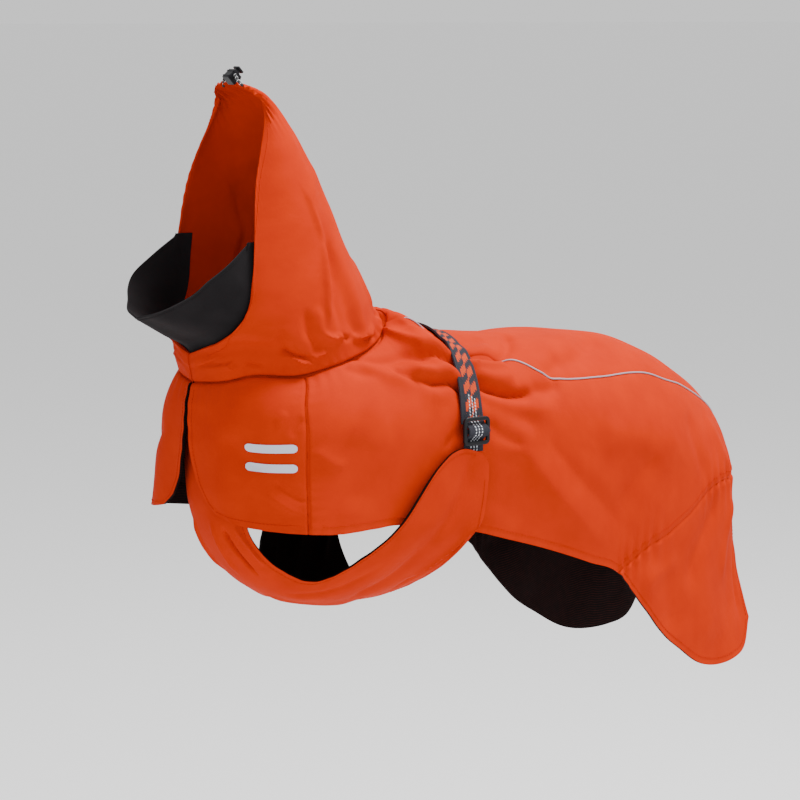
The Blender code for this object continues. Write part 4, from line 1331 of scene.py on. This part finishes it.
def webbing_look(name, blocks, across_middle, dash_start, dash_end):
    """Grey webbing: stepped orange blocks if asked for, and white dashes on one stretch."""
    look = Look(name, 0.78, 0.15)
    along, across = look.uv()
    mid = look.math("SUBTRACT", across, across_middle)
    step = look.math("MULTIPLY", look.math("ROUND", look.math("DIVIDE", mid, 0.0022)), 0.0031)
    shifted = look.math("ADD", along, step)
    inside = look.math("LESS_THAN", look.math("ABSOLUTE", mid), 0.0078)
    left = look.math("LESS_THAN", mid, 0.0)
    turn = look.math("ADD", look.math("DIVIDE", shifted, 0.0165),
                     look.math("MULTIPLY", left, 0.5))
    block = look.math("LESS_THAN", look.math("FRACT", turn), 0.52)
    orange = look.math("MULTIPLY", look.math("MULTIPLY", inside, block), blocks)
    lines = look.math("GREATER_THAN", look.wave(mid, 0.0034, 1.2), 0.72)
    near = look.math("LESS_THAN", look.math("ABSOLUTE", mid), 0.0046)
    dashes = look.math("LESS_THAN", look.math("FRACT", look.math("DIVIDE", along, 0.0030)), 0.62)
    ahead = look.math("LESS_THAN", along, dash_start)
    behind = look.math("GREATER_THAN", along, dash_end)
    group = look.math("MINIMUM", look.math("ADD", ahead, behind), 1.0)
    white = look.math("MULTIPLY", look.math("MULTIPLY", lines, near),
                      look.math("MULTIPLY", dashes, group))
    ground = look.mix(look.noise(900.0, 2.0), WEBBING_DARK, WEBBING_LIGHT)
    look.colour(look.mix(white, look.mix(orange, ground, WEBBING_ORANGE), WEBBING_WHITE))
    slant = look.math("ADD", along, look.math("ABSOLUTE", look.math("SUBTRACT", mid, 0.009)))
    rib = look.math("ADD", look.wave(slant, 0.0017), look.wave(across, 0.0014))
    look.bump(rib, 0.85, 0.0007)
    return look.made


def plain_look(name, colour, roughness, grain=0.0, shine=0.5):
    """One colour, with a fine grain if asked for."""
    look = Look(name, roughness, shine)
    look.colour(colour)
    if grain:
        look.bump(look.noise(1200.0, 2.0), grain, 0.0003)
    return look.made


LOOKS = {}


def looks(name):
    """The material of that name, made when first asked for."""
    if name not in LOOKS:
        makers = {
            "orange": lambda: woven("orange_cloth", ORANGE, ORANGE_DEEP, 0.72, 0.0008, 0.0,
                                    (1.0, 0.45, 0.2), 0.05),
            "black": lambda: woven("black_cloth", BLACK_CLOTH, BLACK_SOFT, 0.8, 0.0009, 0.05,
                                   (0.55, 0.5, 0.52), 0.1),
            "mesh": mesh_lining,
            "webbing": lambda: webbing_look("patterned_webbing", 1.0, 0.0135, 0.048, 0.272),
            "tab": lambda: webbing_look("plain_webbing", 0.0, 0.0105, 1.0, 0.0),
            "thread": lambda: plain_look("orange_thread", THREAD, 0.8, 0.0, 0.05),
            "piping": lambda: plain_look("pale_piping", PIPING, 0.42, 0.3),
            "silver": lambda: plain_look("reflective_film", REFLECTIVE, 0.38, 0.15),
            "plastic": lambda: plain_look("black_plastic", PLASTIC, 0.42, 0.05, 0.25),
            "cord": lambda: plain_look("black_cord", CORD, 0.75, 0.5),
            "fleck": lambda: plain_look("white_yarn", (0.8, 0.8, 0.8), 0.7),
            "floor": lambda: plain_look("pale_floor", (0.96, 0.96, 0.96), 0.8),
        }
        LOOKS[name] = makers[name]()
    return LOOKS[name]


# ---------------------------------------------------------------- add-on

SETTINGS = {"cloth_step": 0.0024, "fold_strength": 1.25, "pucker_strength": 1.0}


class RaincoatSettings(bpy.types.PropertyGroup):
    cloth_step: bpy.props.FloatProperty(
        name="Cloth step", description="Distance between points of the cloth",
        default=SETTINGS["cloth_step"], min=0.001, max=0.01, unit="LENGTH")
    fold_strength: bpy.props.FloatProperty(
        name="Fold strength", description="Share of the small folds' depth",
        default=SETTINGS["fold_strength"], min=0.0, max=2.0, subtype="FACTOR")
    pucker_strength: bpy.props.FloatProperty(
        name="Pucker strength", description="Share of the seam puckers' height",
        default=SETTINGS["pucker_strength"], min=0.0, max=2.0, subtype="FACTOR")
    floor_drop: bpy.props.FloatProperty(
        name="Floor drop", description="Height of the coat's origin above the floor",
        default=0.75, min=0.4, max=2.0, unit="LENGTH")


def read_settings(context):
    """Takes the sidebar's values for the next build."""
    for key in SETTINGS:
        SETTINGS[key] = getattr(context.scene.raincoat, key)


def dress_shell(name, dressed, wall, look, nodes, flip, lift=0.0, inside=None,
                dark_edges=()):
    """Cloth piece from dressed points: a wall inward of them, dark inside if asked for."""
    points, normals = dressed
    outer = points + normals * lift
    made = closed_shell(name, outer, outer - normals * wall, looks(look), flip,
                        looks(inside) if inside else None, dark_edges)
    return keep(made, nodes)


class RAINCOAT_OT_panels(bpy.types.Operator):
    """Build the back, side and front panels and the thigh wings"""
    bl_idname = "raincoat.panels"
    bl_label = "Body Panels"

    def execute(self, context):
        read_settings(context)
        dress_shell("back_cloth", back_dress(), COAT_WALL, "orange",
                    ["back_panel"], False, 0.0, "mesh")
        for label, side in SIDES:
            for piece, node, dress, edges in (
                    ("side", "side_panel_", side_dress, ()),
                    ("front", "front_panel_", front_dress, ("first", "right")),
                    ("wing", "thigh_wing_", wing_dress, ("right", "last"))):
                dress_shell(piece + "_cloth_" + label, dress(side), COAT_WALL, "orange",
                            [node + label], side < 0, 0.0, "mesh",
                            edges)
            dress_shell("neck_tape_" + label, neck_tape_dress(side), NECK_TAPE_WALL, "orange",
                        (), side < 0)
        return {"FINISHED"}


class RAINCOAT_OT_hood(bpy.types.Operator):
    """Build the two hood halves and the black inner collar"""
    bl_idname = "raincoat.hood"
    bl_label = "Hood and Collar"

    def execute(self, context):
        read_settings(context)
        for label, side in SIDES:
            dress_shell("hood_cloth_" + label, hood_dress(side), COAT_WALL, "orange",
                        ["hood_" + label], side < 0)
        dress_shell("collar_cloth", collar_dress(), COLLAR_WALL, "black",
                    ["collar"], False)
        return {"FINISHED"}


class RAINCOAT_OT_belly(bpy.types.Operator):
    """Build the belly panel and the dark linings inside the coat"""
    bl_idname = "raincoat.belly"
    bl_label = "Belly Panel and Linings"

    def execute(self, context):
        read_settings(context)
        belly = belly_dress()
        dress_shell("belly_cloth", belly, COAT_WALL, "orange",
                    ["belly_panel"], True, 0.0, "mesh",
                    ("first", "last", "left", "right"))
        under = -(COAT_WALL + LINING_GAP)
        dress_shell("belly_mesh", belly, LINING_WALL, "mesh",
                    ["belly_lining"], True, under)
        for label, side in SIDES:
            for piece, node, dress in (("wing", "wing_lining_", wing_dress),
                                       ("front", "front_lining_", front_dress)):
                dress_shell(piece + "_mesh_" + label, dress(side), LINING_WALL, "mesh",
                            [node + label], side < 0, under)
        return {"FINISHED"}


class RAINCOAT_OT_trims(bpy.types.Operator):
    """Build the webbing strap, its tongues, the piping and the reflective bars"""
    bl_idname = "raincoat.trims"
    bl_label = "Strap, Piping and Bars"

    def execute(self, context):
        read_settings(context)
        outer, inner = strap_dress()
        strap = closed_shell("strap_webbing", outer, inner, looks("webbing"), True)
        keep(strap, ["back_strap"])
        for label, side in SIDES:
            outer, inner = webbing_strip(side, TONGUE_PROFILE, TONGUE_HALF_WIDTHS, TONGUE_SHIFTS)
            tongue = closed_shell("tongue_webbing_" + label, outer, inner, looks("tab"),
                                  side < 0)
            keep(tongue, ["tab_webbing_" + label])
            outer, inner = webbing_strip(side, LOOP_PROFILE, LOOP_HALF_WIDTHS, LOOP_SHIFTS)
            loop = closed_shell("loop_webbing_" + label, outer, inner, looks("tab"), side < 0)
            keep(loop, ())
            add_tube("piping_cord_" + label, piping_line(side), PIPE_SHOWN,
                     looks("piping"), ["piping_" + label])
            for place, middle in zip(("upper", "lower"), BAR_LEVELS):
                points, normals = bar_dress(side, middle)
                bar = closed_shell("bar_film_" + place + "_" + label, points + normals * BAR_LIFT,
                                   points + normals * (BAR_LIFT - BAR_WALL),
                                   looks("silver"), side > 0)
                keep(bar, ["reflective_bar_" + place + "_" + label])
        return {"FINISHED"}


class RAINCOAT_OT_fittings(bpy.types.Operator):
    """Build the ladder-lock buckles and the cord lock"""
    bl_idname = "raincoat.fittings"
    bl_label = "Buckles and Cord Lock"

    def execute(self, context):
        read_settings(context)
        for label, side in SIDES:
            build_buckle(label, side, looks("plastic"))
        build_cord_lock(looks("plastic"))
        return {"FINISHED"}


class RAINCOAT_OT_cord(bpy.types.Operator):
    """Build the elastic cord at the crown with its white flecks"""
    bl_idname = "raincoat.cord"
    bl_label = "Hood Cord"

    def execute(self, context):
        read_settings(context)
        line = smooth(CORD_PATH, spread(0.0, 1.0, 60))
        cord = add_tube("crown_cord", line, CORD_DIAMETER / 2, looks("cord"),
                        ["hood_cord"])
        along = unit(np.gradient(line, axis=0))
        aside = unit(np.cross(along, np.array([0.0, 0.0, 1.0])))
        raised = unit(np.cross(aside, along))
        rows = []
        for turn in (0.2, 1.4, 2.6, 3.8, 5.0):
            out = aside * math.cos(turn) + raised * math.sin(turn)
            rows.append((line + out * (CORD_DIAMETER / 2 - 0.15), out))
        add_stitches("cord_flecks", rows, looks("fleck"), 0.28, 4.2, 1.2, 0.0)
        return {"FINISHED"}


class RAINCOAT_OT_stitches(bpy.types.Operator):
    """Sew the topstitched lines of the hems and seams"""
    bl_idname = "raincoat.stitches"
    bl_label = "Stitches"

    def execute(self, context):
        read_settings(context)
        lines = []
        for _, side in SIDES:
            pieces = {"side": side_dress(side), "front": front_dress(side),
                      "wing": wing_dress(side), "hood": hood_dress(side)}
            for piece, edge, distance in STITCH_LINES:
                points, normals = pieces[piece]
                line, up = line_from_edge(points, normals, edge, distance)
                margin = int(len(line) * STITCH_MARGIN) + 2
                lines.append((line[margin:-margin], up[margin:-margin]))
        points, normals = belly_dress()
        for edge in ("last", "left", "right"):
            line, up = line_from_edge(points, normals, edge, 4.0)
            lines.append((line[4:-4], up[4:-4]))
        add_stitches("orange_stitches", lines, looks("thread"))
        points, normals = collar_dress()
        line, up = line_from_edge(points, normals, "last", 3.0)
        add_stitches("black_stitches", [(line[3:-3], up[3:-3])], looks("black"))
        return {"FINISHED"}


class RAINCOAT_OT_stage(bpy.types.Operator):
    """Set the pale floor, the soft lights and the camera"""
    bl_idname = "raincoat.stage"
    bl_label = "Stage"

    def execute(self, context):
        scene = context.scene
        bpy.ops.object.select_all(action="DESELECT")
        bpy.ops.mesh.primitive_plane_add(size=FLOOR_SIZE,
                                         location=(0, 0, -scene.raincoat.floor_drop))
        floor = context.object
        floor.name = "floor"
        floor.data.materials.append(looks("floor"))
        world = bpy.data.worlds.new("studio")
        scene.world = world
        world.use_nodes = True
        backdrop = world.node_tree.nodes["Background"]
        backdrop.inputs["Color"].default_value = (1.0, 1.0, 1.0, 1.0)
        backdrop.inputs["Strength"].default_value = WORLD_STRENGTH
        for name, place, aim, size, power in LIGHTS:
            lamp = bpy.data.lights.new(name, "AREA")
            lamp.shape = "SQUARE"
            lamp.size = size
            lamp.energy = power
            holder = add_object(name, lamp)
            holder.location = place
            turn = (Vector(place) - Vector(aim)).to_track_quat("Z", "Y")
            holder.rotation_euler = turn.to_euler()
        lens = bpy.data.cameras.new("camera")
        lens.lens = CAMERA_LENS
        lens.sensor_width = CAMERA_SENSOR
        eye = add_object("camera", lens)
        azimuth, elevation = math.radians(CAMERA_AZIMUTH), math.radians(CAMERA_ELEVATION)
        back = Vector((math.sin(azimuth) * math.cos(elevation),
                       -math.cos(azimuth) * math.cos(elevation), math.sin(elevation)))
        eye.location = Vector(CAMERA_AIM) + back * CAMERA_DISTANCE
        eye.rotation_euler = back.to_track_quat("Z", "Y").to_euler()
        scene.camera = eye
        return {"FINISHED"}


class RAINCOAT_PT_sidebar(bpy.types.Panel):
    bl_label = "Raincoat"
    bl_idname = "RAINCOAT_PT_sidebar"
    bl_space_type = "VIEW_3D"
    bl_region_type = "UI"
    bl_category = "Raincoat"

    def draw(self, context):
        settings = context.scene.raincoat
        for key in (*SETTINGS, "floor_drop"):
            self.layout.prop(settings, key)
        for operator in OPERATORS:
            self.layout.operator(operator.bl_idname)


OPERATORS = (RAINCOAT_OT_panels, RAINCOAT_OT_hood, RAINCOAT_OT_belly, RAINCOAT_OT_trims,
             RAINCOAT_OT_fittings, RAINCOAT_OT_cord, RAINCOAT_OT_stitches, RAINCOAT_OT_stage)
CLASSES = (RaincoatSettings, *OPERATORS, RAINCOAT_PT_sidebar)


def register():
    for item in CLASSES:
        bpy.utils.register_class(item)
    bpy.types.Scene.raincoat = bpy.props.PointerProperty(type=RaincoatSettings)


def unregister():
    del bpy.types.Scene.raincoat
    for item in reversed(CLASSES):
        bpy.utils.unregister_class(item)


def main():
    register()
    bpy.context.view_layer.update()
    bpy.ops.raincoat.panels()
    bpy.ops.raincoat.hood()
    bpy.ops.raincoat.belly()
    bpy.ops.raincoat.trims()
    bpy.ops.raincoat.fittings()
    bpy.ops.raincoat.cord()
    bpy.ops.raincoat.stitches()
    bpy.ops.raincoat.stage()


if __name__ == "__main__":
    main()
